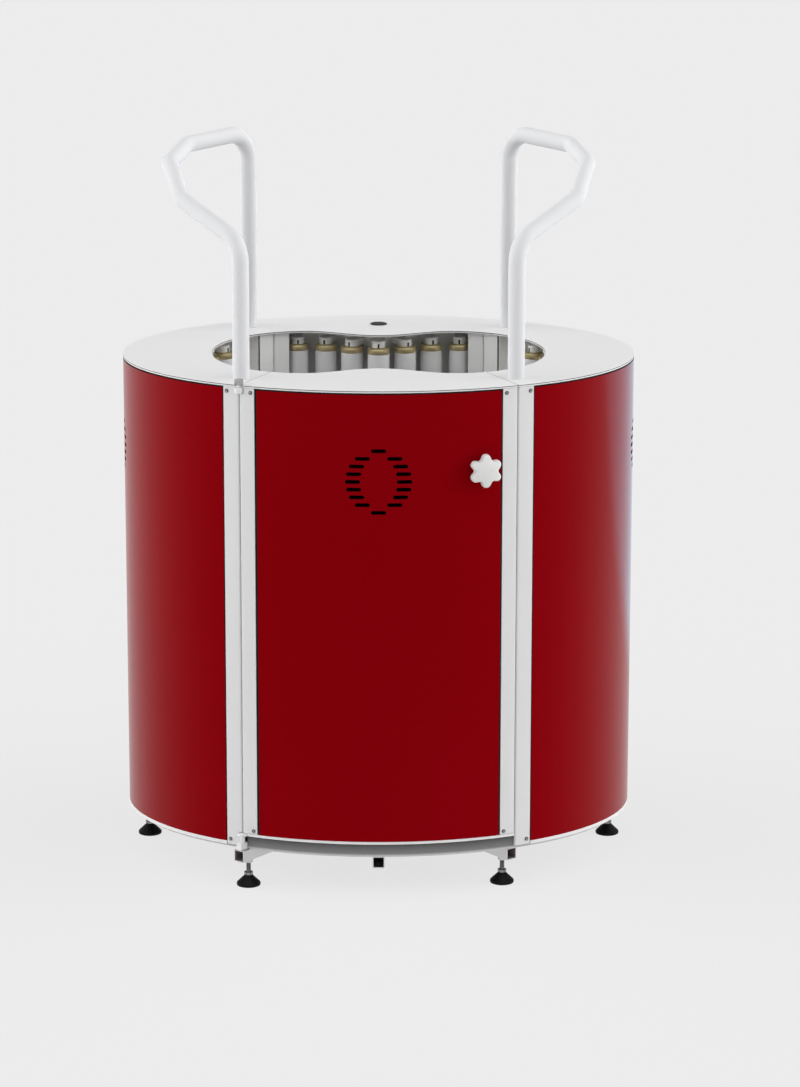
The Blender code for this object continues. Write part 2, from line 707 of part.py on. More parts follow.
def build_panels(door_axis):
    side_start = rim_walk(SEAM_ANGLE, SIDE_STRIP + SIDE_PANEL_GAP)
    door_half = rim_walk(SEAM_ANGLE, -DOOR_STRIP - DOOR_PANEL_GAP)
    back_half = rim_walk(SEAM_ANGLE, -DOOR_STRIP - SIDE_PANEL_GAP)
    build_panel("right_panel", side_start, math.pi - side_start, SKIRT_BOTTOM)
    build_panel("left_panel", math.pi + side_start, 2 * math.pi - side_start, SKIRT_BOTTOM)
    back = build_panel("back_panel", math.pi - back_half, math.pi + back_half, SKIRT_BOTTOM)
    cut(back, cylinder((0, 0), GLAND_THREAD_DIAMETER / 2 + SEAT_GAP, -FAN_DEPTH, FAN_DEPTH),
        facing(math.pi, 0, GLAND_HEIGHT))
    door = build_panel("door_panel", -door_half, door_half, DOOR_FLOOR + SEAT_GAP, door_axis)
    cut(door, cylinder((0, 0), SPINDLE_DIAMETER / 2 + SEAT_GAP, -CAM_DEPTH, CAM_DEPTH), KNOB_FRAME)


def fan_seat(angle):
    """How far in from the rim a square fan sits, so that its edges just clear the curved panel."""
    edge = rim(rim_walk(angle, FAN_SIZE / 2))
    return (rim(angle) - edge).dot(rim_normal(angle)) + PANEL_SHEET + FAN_SEAT_GAP


def sector_window(inner, outer, start, end):
    steps = 3
    points = []
    for radius, first, last in ((inner, start, end), (outer, end, start)):
        for i in range(steps + 1):
            angle = first + (last - first) * i / steps
            points.append((radius * math.cos(angle), radius * math.sin(angle)))
    return points


def build_fan(prefix, angle, parent=None):
    """A square axial fan with its spider on the inner side, and the rotor that runs in it."""
    seat = facing(angle, fan_seat(angle), VENT_HEIGHT)
    spider_top = FAN_SPIDER - FAN_DEPTH
    housing = prism(rectangle(FAN_SIZE, FAN_SIZE), -FAN_DEPTH, 0)
    frame = place(prefix + "_fan_frame", housing, BLACK_PLASTIC, parent=parent, matrix=seat)
    cut(frame, cylinder((0, 0), FAN_BORE / 2, spider_top, FAN_DEPTH, FAN_SIDES), seat)
    windows = bmesh.new()
    hub = FAN_HUB_DIAMETER / 2
    strut = FAN_STRUT / FAN_HUB_DIAMETER
    for i in range(4):
        first = math.pi / 2 * i + strut
        prism(sector_window(hub, FAN_BORE / 2 - FAN_SPIDER / 4, first, first + math.pi / 2 - 2 * strut),
              -2 * FAN_DEPTH, spider_top + FAN_SPIDER / 4, windows)
    cut(frame, windows, seat)
    axis = joint_axis(prefix + "_fan_axis", seat)
    if parent is not None:
        axis.parent = parent
        axis.matrix_parent_inverse = parent.matrix_basis.inverted()
    low = spider_top + SEAT_GAP
    rotor_hub = cylinder((0, 0), hub, low, low + FAN_HUB_LENGTH, 2 * FAN_BLADES)
    rotor = place(prefix + "_fan_rotor", rotor_hub, BLACK_PLASTIC, smooth=True, matrix=seat)
    rotor.parent = axis
    rotor.matrix_parent_inverse = seat.inverted()
    join(rotor, fan_blades(low), seat)


def fan_blades(low):
    blades = bmesh.new()
    tip = FAN_BORE / 2 - FAN_TIP_GAP
    root = FAN_HUB_DIAMETER / 2 - FAN_TIP_GAP
    root_pitch = math.radians(FAN_ROOT_PITCH_DEGREES)
    tip_pitch = math.radians(FAN_TIP_PITCH_DEGREES)
    chord = (FAN_HUB_LENGTH - FAN_SPIDER) / math.sin(root_pitch)
    for i in range(FAN_BLADES):
        turn = Matrix.Rotation(2 * math.pi * i / FAN_BLADES, 4, 'Z')
        sections = []
        for radius, lean in ((root, root_pitch), (tip, tip_pitch)):
            along = Vector((0, math.cos(lean), math.sin(lean))) * chord / 2
            across = Vector((0, -math.sin(lean), math.cos(lean))) * FAN_BLADE_SHEET / 2
            centre = Vector((radius, 0, low + FAN_HUB_LENGTH / 2))
            corners = (centre - along - across, centre + along - across,
                       centre + along + across, centre - along + across)
            sections.append([turn @ corner for corner in corners])
        add_stack(blades, sections)
    return blades


def add_stack(shape, rings):
    """Adds one closed skin of stacked rings to a shape."""
    part = stack(rings)
    mesh = bpy.data.meshes.new("ring_stack")
    part.to_mesh(mesh)
    part.free()
    shape.from_mesh(mesh)
    bpy.data.meshes.remove(mesh)


# Lamp banks: a bright reflector sheet with a pair of holders for each lamp.
def lamp_spots(middle):
    """Centre and outward direction of each lamp, along a line behind the well's edge."""
    spots = []
    for i in range(LAMPS_PER_BANK):
        turn = opening_walk(middle, LAMP_LINE, (i - (LAMPS_PER_BANK - 1) / 2) * LAMP_PITCH)
        spots.append((opening(turn, LAMP_LINE), opening(turn, LAMP_LINE + 1) - opening(turn, LAMP_LINE)))
    return spots


def holder_outline(spot, outward):
    """Rounded nose over the lamp cap, and a body that runs back through the reflector."""
    half = HOLDER_WIDTH / 2
    across = Vector((-outward.y, outward.x))
    back = LAMP_DIAMETER / 2 + REFLECTOR_GAP + HOLDER_TAIL
    points = [spot + outward * back + across * half]
    for step in range(4):
        angle = math.pi * step / 3
        points.append(spot + across * half * math.cos(angle) - outward * half * math.sin(angle))
    points.append(spot + outward * back - across * half)
    return points


def holders(spots):
    shape = bmesh.new()
    for spot, outward in spots:
        outline = holder_outline(spot, outward)
        for low in (HOLDER_TOP - HOLDER_HEIGHT, LAMP_BOTTOM - SEAT_GAP - HOLDER_HEIGHT):
            prism(outline, low, low + HOLDER_HEIGHT, shape)
    return shape


def lamp_profile(low, high):
    """Tube with a bevelled cap at each end."""
    tube = LAMP_DIAMETER / 2
    cap = tube - LAMP_CAP_BEVEL
    return [(cap, low), (tube, low + LAMP_CAP_BEVEL), (tube, high - LAMP_CAP_BEVEL), (cap, high)]


def reflector_bends(middle, left_out=0):
    """Where the sheet is bent, beside each lamp, with the given number left out at each end."""
    bends = []
    for i in range(left_out, LAMPS_PER_BANK + 1 - left_out):
        turn = opening_walk(middle, LAMP_LINE, (i - LAMPS_PER_BANK / 2) * LAMP_PITCH)
        bends.append(opening(turn, REFLECTOR_LINE))
    return bends


def straight_reflector(middle):
    """Reflector of the door or the back, from web to web."""
    end = opening_at_seam(-SEAM_GAP / 2 - POST_SHEET - REFLECTOR_END_GAP, REFLECTOR_LINE)
    ends = [opening(middle - end, REFLECTOR_LINE), opening(middle + end, REFLECTOR_LINE)]
    return ribbon([ends[0]] + reflector_bends(middle) + [ends[1]], -REFLECTOR_SHEET)


def folded_reflector(middle):
    """Reflector of a side section, folded in at both ends to meet the inner faces of its posts."""
    half_bank = (LAMPS_PER_BANK - 1) / 2 * LAMP_PITCH
    fold = opening_walk(middle, LAMP_LINE, half_bank + REFLECTOR_FOLD)
    web_turn = opening_at_seam(SEAM_GAP / 2, FLANGE_SETBACK)
    flange = INNER_FLANGE + 2 * REFLECTOR_SHEET + REFLECTOR_END_GAP
    flange_turn = opening_walk(web_turn, FLANGE_SETBACK, flange)
    end_turn = middle + 1 - flange_turn
    path = [opening(2 * middle - end_turn, FLANGE_SETBACK), opening(2 * middle - fold, REFLECTOR_LINE)]
    path += reflector_bends(middle, 1)
    path += [opening(fold, REFLECTOR_LINE), opening(end_turn, FLANGE_SETBACK)]
    return ribbon(path, -REFLECTOR_SHEET)


def build_bank(name, outline, floor, spots, parent=None):
    sheet = prism(outline, floor + SEAT_GAP, HOLDER_TOP)
    bank = place(name, sheet, MIRROR_SHEET, smooth=True, parent=parent)
    join(bank, holders(spots))
    return bank


def build_lamps(door_axis):
    straight = (("door", 0, DOOR_FLOOR, door_axis), ("back", 2, PLATFORM_TOP, None))
    for prefix, middle, floor, parent in straight:
        spots = lamp_spots(middle)
        build_bank(prefix + "_lamp_carrier", straight_reflector(middle), floor, spots, parent)
        for number, (spot, _) in enumerate(spots, 1):
            tube = turned(lamp_profile(LAMP_BOTTOM, LAMP_TOP), LAMP_SIDES)
            matrix = Matrix.Translation((spot.x, spot.y, 0))
            place(f"{prefix}_lamp_{number}", tube, LAMP_GLASS, smooth=True, parent=parent, matrix=matrix)
    for prefix, middle in (("right", 1), ("left", 3)):
        spots = lamp_spots(middle)
        bank = build_bank(prefix + "_lamp_bank", folded_reflector(middle), PLATFORM_TOP, spots)
        lamps = bmesh.new()
        sunk = 2 * SEAT_GAP
        for spot, _ in spots:
            rings = []
            for radius, level in lamp_profile(LAMP_BOTTOM - sunk, LAMP_TOP + sunk):
                rings.append([(x, y, level) for x, y in circle(radius, LAMP_SIDES, spot)])
            add_stack(lamps, rings)
        join(bank, lamps)


# Hand rails: one bent tube a side, let into the plate at both ends beside the seams.
def rail_path(corners):
    """The middle of the tube, with each corner between its ends bent to an arc."""
    path = [corners[0]]
    for before, corner, after in zip(corners, corners[1:], corners[2:]):
        path += rounded_corner(before, corner, after, HANDLE_BEND_RADIUS, HANDLE_BEND_STEPS)
    return path + [corners[-1]]


def build_handle(name, side):
    plan = ((0, HANDLE_LEG.y), (HANDLE_SHOULDER_OUT, -HANDLE_SHOULDER_Y), (HANDLE_APEX_OUT, 0),
            (HANDLE_SHOULDER_OUT, HANDLE_SHOULDER_Y), (0, -HANDLE_LEG.y))
    corners = [Vector((side * (HANDLE_LEG.x + out), y, PLATE_TOP + rise))
               for (out, y), rise in zip(plan, HANDLE_RISES)]
    foot = PLATE_TOP - HANDLE_DEPTH_BELOW_PLATE
    feet = [Vector((side * HANDLE_LEG.x, y, foot)) for y in (HANDLE_LEG.y, -HANDLE_LEG.y)]
    path = rail_path([feet[0]] + corners + [feet[1]])
    curve = bpy.data.curves.new(name, 'CURVE')
    curve.dimensions = '3D'
    curve.bevel_depth = HANDLE_DIAMETER / 2
    curve.bevel_resolution = HANDLE_ROUNDNESS
    curve.use_fill_caps = True
    spline = curve.splines.new('POLY')
    spline.points.add(len(path) - 1)
    for point, spot in zip(spline.points, path):
        point.co = (*spot, 1)
    curve.materials.append(WHITE_PAINT)
    bpy.context.scene.collection.objects.link(bpy.data.objects.new(name, curve))


# Latch: a star knob outside the door, with its spindle through the panel and a cam inside.
KNOB_FRAME = facing(KNOB_ANGLE, 0, KNOB_HEIGHT)
KNOB_SIDES = 6 * KNOB_LOBES
CAM_END_STEPS = 6
CAM_BACK = -CAM_DEPTH - CAM_THICKNESS


def star(inset):
    """The knob's outline with one lobe at the top, drawn in by the given amount."""
    middle = KNOB_DIAMETER / 2 - KNOB_LOBE_DEPTH / 2 - inset
    points = []
    for i in range(KNOB_SIDES):
        angle = 2 * math.pi * i / KNOB_SIDES
        radius = middle + KNOB_LOBE_DEPTH / 2 * math.cos(KNOB_LOBES * (angle - math.pi / 2))
        points.append((radius * math.cos(angle), radius * math.sin(angle)))
    return points


def build_latch(door_axis):
    axis = joint_axis("latch_axis", KNOB_FRAME)
    axis.parent = door_axis
    axis.matrix_parent_inverse = door_axis.matrix_basis.inverted()
    stem = circle(KNOB_STEM_DIAMETER / 2, KNOB_SIDES)
    spindle = circle(SPINDLE_DIAMETER / 2, KNOB_SIDES)
    back = SEAT_GAP + KNOB_STEM_LENGTH
    face = back + KNOB_THICKNESS
    levels = ((spindle, CAM_BACK - CAM_THICKNESS), (spindle, SEAT_GAP), (stem, SEAT_GAP), (stem, back),
              (star(KNOB_BACK_ROUND), back), (star(0), back + KNOB_BACK_ROUND),
              (star(0), face - KNOB_FACE_ROUND), (star(KNOB_FACE_ROUND), face))
    knob = place("star_knob", layers(levels), WHITE_PLASTIC, smooth=True, matrix=KNOB_FRAME)
    knob.parent = axis
    knob.matrix_parent_inverse = KNOB_FRAME.inverted()
    half = CAM_WIDTH / 2
    outline = []
    for centre, first in ((0.0, math.pi), (CAM_REACH - half, 0.0)):
        for step in range(CAM_END_STEPS + 1):
            angle = first + math.pi * step / CAM_END_STEPS
            outline.append((half * math.cos(angle), centre + half * math.sin(angle)))
    cam = place("latch_cam", prism(outline, CAM_BACK, -CAM_DEPTH), BARE_STEEL, matrix=KNOB_FRAME)
    cam.parent = axis
    cam.matrix_parent_inverse = KNOB_FRAME.inverted()
    cut(cam, cylinder((0, 0), SPINDLE_DIAMETER / 2 + SEAT_GAP, 2 * CAM_BACK, 0), KNOB_FRAME)


def build_button():
    """Start button in a round bezel at the back of the top plate."""
    seat = Matrix.Translation((0, BUTTON_Y, PLATE_TOP))
    low = -BEZEL_BARREL_LENGTH
    flange = SEAT_GAP
    bore = BUTTON_DIAMETER / 2 + SEAT_GAP
    barrel = BEZEL_BARREL_DIAMETER / 2
    wall = barrel - bore
    rim_edge = BEZEL_DIAMETER / 2
    top = flange + BEZEL_FLANGE
    shell = turned([(barrel, low), (barrel, flange), (rim_edge, flange), (rim_edge, top)], BEZEL_SIDES)
    bezel = place("button_bezel", shell, BLACK_PLASTIC, smooth=True, matrix=seat)
    cut(bezel, cylinder((0, 0), bore, low + wall, BEZEL_BARREL_LENGTH, BEZEL_SIDES), seat)
    axis = joint_axis("start_button_axis", seat)
    side = BUTTON_DIAMETER / 2
    bottom = low + wall + BUTTON_TRAVEL + RUNNING_GAP
    cap = turned([(side, bottom), (side, top - BUTTON_EDGE), (side - BUTTON_EDGE, top)], BEZEL_SIDES)
    place("start_button", cap, BLACK_PLASTIC, smooth=True, parent=axis, matrix=seat)


def build_gland():
    """Cable gland of the mains inlet, low on the back panel. Its thread passes through the panel."""
    seat = facing(math.pi, 0, GLAND_HEIGHT)
    thread = GLAND_THREAD_DIAMETER / 2
    inner = -PANEL_SHEET - GLAND_THREAD_LENGTH
    dome = SEAT_GAP + GLAND_HEX_HEIGHT
    nose = dome + GLAND_DOME_HEIGHT
    profile = [(thread, inner), (thread, dome), (GLAND_DOME_DIAMETER / 2, dome),
               (GLAND_DOME_DIAMETER / 2, (dome + nose) / 2), (GLAND_NOSE_DIAMETER / 2, nose)]
    gland = place("cable_gland", turned(profile, GLAND_SIDES), BLACK_PLASTIC, smooth=True, matrix=seat)
    join(gland, prism(hexagon(GLAND_HEX_WIDTH), SEAT_GAP, dome), seat)
    cut(gland, cylinder((0, 0), GLAND_BORE / 2, 2 * inner, 2 * nose, GLAND_SIDES), seat)


door_hinge = joint_axis("door_hinge_axis", Matrix.Translation((HINGE_POINT.x, HINGE_POINT.y, 0)))
build_base()
build_feet()
build_platform()
build_hinge()
build_posts(door_hinge)
build_plates(door_hinge)
build_panels(door_hinge)
build_lamps(door_hinge)
for section, section_angle, carrier in (("door", 0.0, door_hinge), ("right", math.pi / 2, None),
                                        ("back", math.pi, None), ("left", 1.5 * math.pi, None)):
    build_fan(section, section_angle, carrier)
build_handle("left_handle", -1)
build_handle("right_handle", 1)
build_latch(door_hinge)
build_button()
build_gland()
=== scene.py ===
"""Leg tanning unit in a plain studio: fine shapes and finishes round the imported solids.

Metres, +Z up. The door faces -Y, and the origin lies on the floor below the middle of the cabinet.
"""
import json
import math

import bmesh
import bpy
from mathutils import Matrix, Vector


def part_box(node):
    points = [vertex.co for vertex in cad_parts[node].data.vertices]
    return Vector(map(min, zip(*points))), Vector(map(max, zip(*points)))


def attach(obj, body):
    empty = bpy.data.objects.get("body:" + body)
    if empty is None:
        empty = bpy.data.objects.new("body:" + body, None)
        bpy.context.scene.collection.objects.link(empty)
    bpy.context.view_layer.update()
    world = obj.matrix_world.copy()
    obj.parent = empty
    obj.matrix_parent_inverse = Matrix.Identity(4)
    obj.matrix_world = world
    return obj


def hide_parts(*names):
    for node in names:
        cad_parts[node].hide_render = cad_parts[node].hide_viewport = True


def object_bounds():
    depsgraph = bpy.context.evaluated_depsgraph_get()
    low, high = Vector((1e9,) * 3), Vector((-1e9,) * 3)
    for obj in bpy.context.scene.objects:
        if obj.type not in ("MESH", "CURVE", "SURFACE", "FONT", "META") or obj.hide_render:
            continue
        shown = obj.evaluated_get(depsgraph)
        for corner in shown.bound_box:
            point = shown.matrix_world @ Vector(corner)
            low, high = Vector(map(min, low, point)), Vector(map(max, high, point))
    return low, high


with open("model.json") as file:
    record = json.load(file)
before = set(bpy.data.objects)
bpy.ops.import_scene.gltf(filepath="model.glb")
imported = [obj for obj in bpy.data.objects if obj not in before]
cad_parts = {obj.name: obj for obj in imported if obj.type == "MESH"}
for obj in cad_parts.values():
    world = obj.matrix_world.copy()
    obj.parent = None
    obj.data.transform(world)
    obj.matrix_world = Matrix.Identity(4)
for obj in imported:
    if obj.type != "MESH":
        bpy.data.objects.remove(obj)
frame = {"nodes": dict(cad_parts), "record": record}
cad_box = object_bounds()


# Base frame: square steel tubes, welded across each other and left open at the ends, with a plated nut
# under the tube for each foot. The steel is bare outside, with dull clouds, and dark with mill scale inside.
class Signal:
    """The value of a shader socket, so that shader maths reads as plain arithmetic."""

    def __init__(self, tree, socket=None):
        self.tree = tree
        self.socket = socket

    def feed(self, node, sockets):
        """Sets or links the sockets of a node."""
        for key, value in sockets.items():
            if isinstance(value, Signal):
                self.tree.links.new(value.socket, node.inputs[key])
            else:
                node.inputs[key].default_value = value

    def node(self, kind, settings, sockets, output=0):
        """Any node: its settings go in first, then the values or links of its sockets."""
        made = self.tree.nodes.new("ShaderNode" + kind)
        for name, value in settings.items():
            setattr(made, name, value)
        self.feed(made, sockets)
        return Signal(self.tree, made.outputs[output])

    def math(self, operation, first, second):
        return self.node("Math", {"operation": operation}, {0: first, 1: second})

    def __add__(self, other):
        return self.math('ADD', self, other)

    def __sub__(self, other):
        return self.math('SUBTRACT', self, other)

    def __rsub__(self, other):
        return self.math('SUBTRACT', other, self)

    def __mul__(self, other):
        return self.math('MULTIPLY', self, other)

    def __pow__(self, other):
        return self.math('POWER', self, other)

    __radd__ = __add__
    __rmul__ = __mul__


def grain(start, scale, stretch=(1, 1, 1), detail=2.0):
    """Noise over the piece's own coordinates; a smaller number stretches it along that axis."""
    spot = start.node("TexCoord", {}, {}, "Object")
    stretched = start.node("VectorMath", {"operation": 'MULTIPLY'}, {0: spot, 1: stretch})
    return start.node("TexNoise", {}, {"Vector": stretched, "Scale": scale, "Detail": detail})


def tint(start, share, low, high):
    """A colour between two others. On a Mix node, sockets 6 and 7 are colours and output 2 is their mix."""
    return start.node("Mix", {"data_type": 'RGBA'}, {0: share, 6: (*low, 1), 7: (*high, 1)}, 2)


def relief(start, height, depth):
    """Bumps of a real depth."""
    return start.node("Bump", {}, {"Height": height, "Distance": depth, "Strength": 1.0})


def finish(name, recipe):
    """A material whose shader takes the values and links that a recipe gives."""
    made = bpy.data.materials.new(name)
    made.use_nodes = True
    start = Signal(made.node_tree)
    start.feed(made.node_tree.nodes["Principled BSDF"], recipe(start))
    return made


def steel_recipe(start):
    clouds = grain(start, 22.0, detail=4.0)
    drawn = grain(start, 900.0, detail=3.0)
    return {"Base Color": tint(start, clouds, (0.58, 0.58, 0.585), (0.72, 0.72, 0.72)), "Metallic": 1.0,
            "Roughness": 0.24 + 0.12 * clouds + 0.08 * drawn, "Normal": relief(start, drawn, 0.00002)}


def scale_recipe(start):
    rust = grain(start, 140.0, detail=4.0)
    return {"Base Color": tint(start, rust, (0.150, 0.120, 0.125), (0.290, 0.240, 0.245)),
            "Roughness": 0.50 + 0.25 * rust, "Normal": relief(start, rust, 0.00005)}


def plated(name, low, high):
    """Zinc plating, which is mottled between a dull and a bright tone."""
    def recipe(start):
        spangle = grain(start, 300.0, detail=3.0)
        return {"Base Color": tint(start, spangle, (low, low, low), (high, high, ZINC_WARMTH * high)),
                "Metallic": 1.0, "Roughness": 0.20 + 0.12 * spangle,
                "Normal": relief(start, spangle, 0.00001)}

    return finish(name, recipe)


ZINC_WARMTH = 0.99
STEEL = finish("bare_steel_tube", steel_recipe)
MILL_SCALE = finish("mill_scale", scale_recipe)
ZINC_AND_HIGHLIGHT = plated("zinc_plate_and_highlight", 0.46, 0.66)
BODY = {node: body for body, nodes in frame["record"]["behaviour"]["bodies"].items() for node in nodes}
FEET = [node for node in BODY if node.startswith("foot_") and node != "foot_platform"]
SMOOTH_BEND = math.radians(50)
FLAT_BEND = math.radians(0.5)
WELD_GAP = 1e-6
EDGE_SEGMENTS = 2


def rounded(shape, radius):
    """Rounds every sharp edge of a shape."""
    bmesh.ops.recalc_face_normals(shape, faces=shape.faces[:])
    sharp = [edge for edge in shape.edges if edge.is_manifold and edge.calc_face_angle() > SMOOTH_BEND]
    bmesh.ops.bevel(shape, geom=sharp, offset=radius, segments=EDGE_SEGMENTS, profile=0.5, affect='EDGES')
    return shape


def meshed(name, shape, coats):
    """A mesh of a shape with its finishes, shaded smooth except at sharp bends."""
    bmesh.ops.recalc_face_normals(shape, faces=shape.faces[:])
    mesh = bpy.data.meshes.new(name)
    shape.to_mesh(mesh)
    shape.free()
    for coat in coats:
        mesh.materials.append(coat)
    mesh.shade_smooth()
    mesh.set_sharp_from_angle(angle=SMOOTH_BEND)
    return mesh


def add(name, data):
    """Puts a mesh, a light or a camera in the scene."""
    thing = bpy.data.objects.new(name, data)
    bpy.context.scene.collection.objects.link(thing)
    return thing


def fix(name, mesh, body, nodes, place=(0, 0, 0)):
    """Fixes a piece to a body, in place of the given solids."""
    piece = add(name, mesh)
    piece.location = place
    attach(piece, body)
    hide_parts(*nodes)
    return piece


def fit(name, shape, coats, body, slot, *nodes):
    """Makes a piece of a shape and fixes it where it is."""
    piece = fix(name, meshed(name, shape, coats), body, nodes)
    piece.modifiers.new("even_shading", 'WEIGHTED_NORMAL').keep_sharp = True


def softened(node, radius):
    """A copy of a solid's mesh with its flat faces whole and its edges rounded."""
    shape = bmesh.new()
    shape.from_mesh(frame["nodes"][node].data)
    bmesh.ops.remove_doubles(shape, verts=shape.verts[:], dist=WELD_GAP)
    bmesh.ops.dissolve_limit(shape, angle_limit=FLAT_BEND, verts=shape.verts[:], edges=shape.edges[:])
    return rounded(shape, radius)


def dress(node, name, coat, slot, radius):
    """Fits a rounded copy of a solid in its place."""
    fit(name, softened(node, radius), [coat], BODY[node], slot, node)


def middle_of(node):
    """The middle of a solid, seen from above."""
    low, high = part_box(node)
    return ((low + high) / 2).xy


TUBE_EDGE = 0.0006
TUBE_LOW = 0.046
TUBE_HIGH = 0.066
TUBE_WALL = 0.0016
BORE_SLACK = 0.00032
END_FACE_LEAN = 0.5
BASE_MIDDLE = Vector((0, 0.016))
arms = [(middle_of(node) - BASE_MIDDLE).normalized() for node in FEET]


def in_bore(face):
    """Whether a face lies on the inside of a tube and isn't the end of one."""
    centre = face.calc_center_median()
    spot = centre.xy - BASE_MIDDLE
    reach = (TUBE_HIGH - TUBE_LOW) / 2 - TUBE_WALL + BORE_SLACK
    if abs(centre.z - (TUBE_HIGH + TUBE_LOW) / 2) >= reach:
        return False
    return any(arm.dot(spot) > 0 and abs(arm.cross(spot)) < reach
               and abs(face.normal.xy.dot(arm)) < END_FACE_LEAN for arm in arms)


shape = softened("base_frame", TUBE_EDGE)
for face in shape.faces:
    if face.calc_center_median().z < TUBE_LOW - TUBE_EDGE / 2:
        face.material_index = 2
    elif in_bore(face):
        face.material_index = 1
fit("base_frame_tubes", shape, [STEEL, MILL_SCALE, ZINC_AND_HIGHLIGHT], BODY["base_frame"], "bare_steel", "base_frame")


# Levelling feet: a black moulded pad under a zinc-plated stud with a lock nut. The stud screws up through
# the nut under the tube. Stud and lock nut take a darker zinc, as painted shade.
def moulding(name, gloss):
    """Black moulded plastic with a fine grain, dulled here and there by handling."""
    def recipe(start):
        pitting = grain(start, 1400.0, detail=3.0)
        handled = grain(start, 45.0, detail=3.0)
        return {"Base Color": tint(start, handled, (0.0015, 0.0015, 0.0015), (0.004, 0.004, 0.004)),
                "Roughness": 0.38 + 0.14 * handled + 0.08 * pitting, "Specular IOR Level": gloss,
                "Normal": relief(start, pitting, 0.00003)}

    return finish(name, recipe)


BLACK_MOULDING = moulding("black_moulding", 0.12)
# A darker copy of the zinc plating: painted shade on the studs and lock nuts.
SHADED_ZINC = plated("shaded_stud_zinc", 0.10, 0.44)


def skin(rings, into=None, material=0):
    """Joins rings of points into a closed shape with flat ends."""
    shape = into or bmesh.new()
    loops = [[shape.verts.new(point) for point in ring] for ring in rings]
    faces = [shape.faces.new(loops[0][::-1]), shape.faces.new(loops[-1])]
    for lower, upper in zip(loops, loops[1:]):
        for i in range(len(lower)):
            faces.append(shape.faces.new((lower[i - 1], lower[i], upper[i], upper[i - 1])))
    for face in faces:
        face.material_index = material
    return shape


def circle(radius, sides):
    """The corners of a regular outline round the origin."""
    angles = [2 * math.pi * i / sides for i in range(sides)]
    return [(radius * math.cos(angle), radius * math.sin(angle)) for angle in angles]


def lathe(profile, sides, into=None, material=0):
    """A turned shape from (radius, z) points."""
    return skin([[(x, y, z) for x, y in circle(radius, sides)] for radius, z in profile], into, material)


def slab(outline, low, high, into=None, material=0):
    """A flat outline with a thickness."""
    return skin([[(x, y, z) for x, y in outline] for z in (low, high)], into, material)


def threaded(radius, pitch, low, high, into, material):
    """A rod whose thread climbs one pitch in each turn."""
    rings = []
    for step in range(int((high - low) / pitch * THREAD_STEPS) + 1):
        ring = []
        for i, (x, y) in enumerate(circle(1.0, THREAD_SIDES)):
            groove = 0.5 + 0.5 * math.cos(2 * math.pi * (step / THREAD_STEPS - i / THREAD_SIDES))
            reach = radius - THREAD_DEPTH * pitch * groove
            ring.append((x * reach, y * reach, low + pitch * step / THREAD_STEPS))
        rings.append(ring)
    return skin(rings, into, material)


def merge(shape, part):
    """Adds one shape to another."""
    mesh = bpy.data.meshes.new("part")
    part.to_mesh(mesh)
    part.free()
    shape.from_mesh(mesh)
    bpy.data.meshes.remove(mesh)


PAD_RADIUS = 0.020
PAD_EDGE = 0.0045
PAD_HEIGHT = 0.018
PAD_ROUND = 0.0014
PAD_CUT = 0.00042
PAD_LIP = 0.00056
PAD_SIDES = 40
NECK_RADIUS = 0.00625
NUT_SIDES = 6
LOCK_NUT_WIDTH = 0.013
LOCK_NUT_TOP = 0.0235
LOCK_NUT_EDGE = 0.0005
STUD_RADIUS = 0.004
STUD_PITCH = 0.00125
THREAD_SIDES = 20
THREAD_STEPS = 6
THREAD_DEPTH = 0.55
pad_profile = [(PAD_RADIUS - PAD_ROUND, 0.0), (PAD_RADIUS - PAD_CUT, PAD_CUT), (PAD_RADIUS, PAD_ROUND),
               (PAD_RADIUS, PAD_EDGE - PAD_LIP), (PAD_RADIUS - PAD_LIP, PAD_EDGE + PAD_LIP),
               (NECK_RADIUS + PAD_CUT, PAD_HEIGHT - PAD_LIP), (NECK_RADIUS, PAD_HEIGHT)]
for node in FEET:
    shape = lathe(pad_profile, PAD_SIDES)
    nut = slab(circle(LOCK_NUT_WIDTH / math.sqrt(3), NUT_SIDES), PAD_HEIGHT, LOCK_NUT_TOP, material=1)
    merge(shape, rounded(nut, LOCK_NUT_EDGE))
    threaded(STUD_RADIUS, STUD_PITCH, LOCK_NUT_TOP - STUD_PITCH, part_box(node)[1].z, shape, 1)
    bmesh.ops.translate(shape, verts=shape.verts[:], vec=middle_of(node).to_3d())
    fit(node + "_leveller", shape, [BLACK_MOULDING, SHADED_ZINC], BODY[node], "foot_black", node)


# Foot platform: a laminated board to stand on, dark at the edge, with a pimpled tread on top. It lies on
# the tubes. A pale band along the foot of the edge is a painted highlight, and painted shade leaves the edge
# darkest at its top.
board_low, board_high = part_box("foot_platform")
HIGHLIGHT_BAND = 0.0042
HIGHLIGHT_FADE_LOW = 0.00189
HIGHLIGHT_FADE_HIGH = 0.00546
PAINTED_HIGHLIGHT = 0.52
SHADE_GRADIENT = 0.21


def fading(start, height, low, high, shade):
    """A shade that fades to nothing from one height to another."""
    risen = start.node("MapRange", {}, {"Value": height, "From Min": low, "From Max": high})
    return shade * (1 - risen)


def board_recipe(start):
    fleck = grain(start, 700.0, detail=2.0)
    clouds = grain(start, 9.0, detail=3.0)
    height = start.node("SeparateXYZ", {}, {0: start.node("TexCoord", {}, {}, "Object")}, "Z")
    # Painted highlight: the pale band at the foot of the edge. Painted shade: the edge darkens towards its
    # top.
    floor_highlight = fading(start, height, board_low.z + HIGHLIGHT_FADE_LOW, board_low.z + HIGHLIGHT_FADE_HIGH, PAINTED_HIGHLIGHT)
    edge = fading(start, height, board_low.z + HIGHLIGHT_BAND, board_high.z, SHADE_GRADIENT)
    shade = 0.08 * fleck + 0.04 * clouds + floor_highlight + edge
    return {"Base Color": tint(start, shade, (0.022, 0.022, 0.024), (0.66, 0.66, 0.66)),
            "Roughness": 0.46 + 0.14 * fleck, "Normal": relief(start, fleck, 0.00004)}


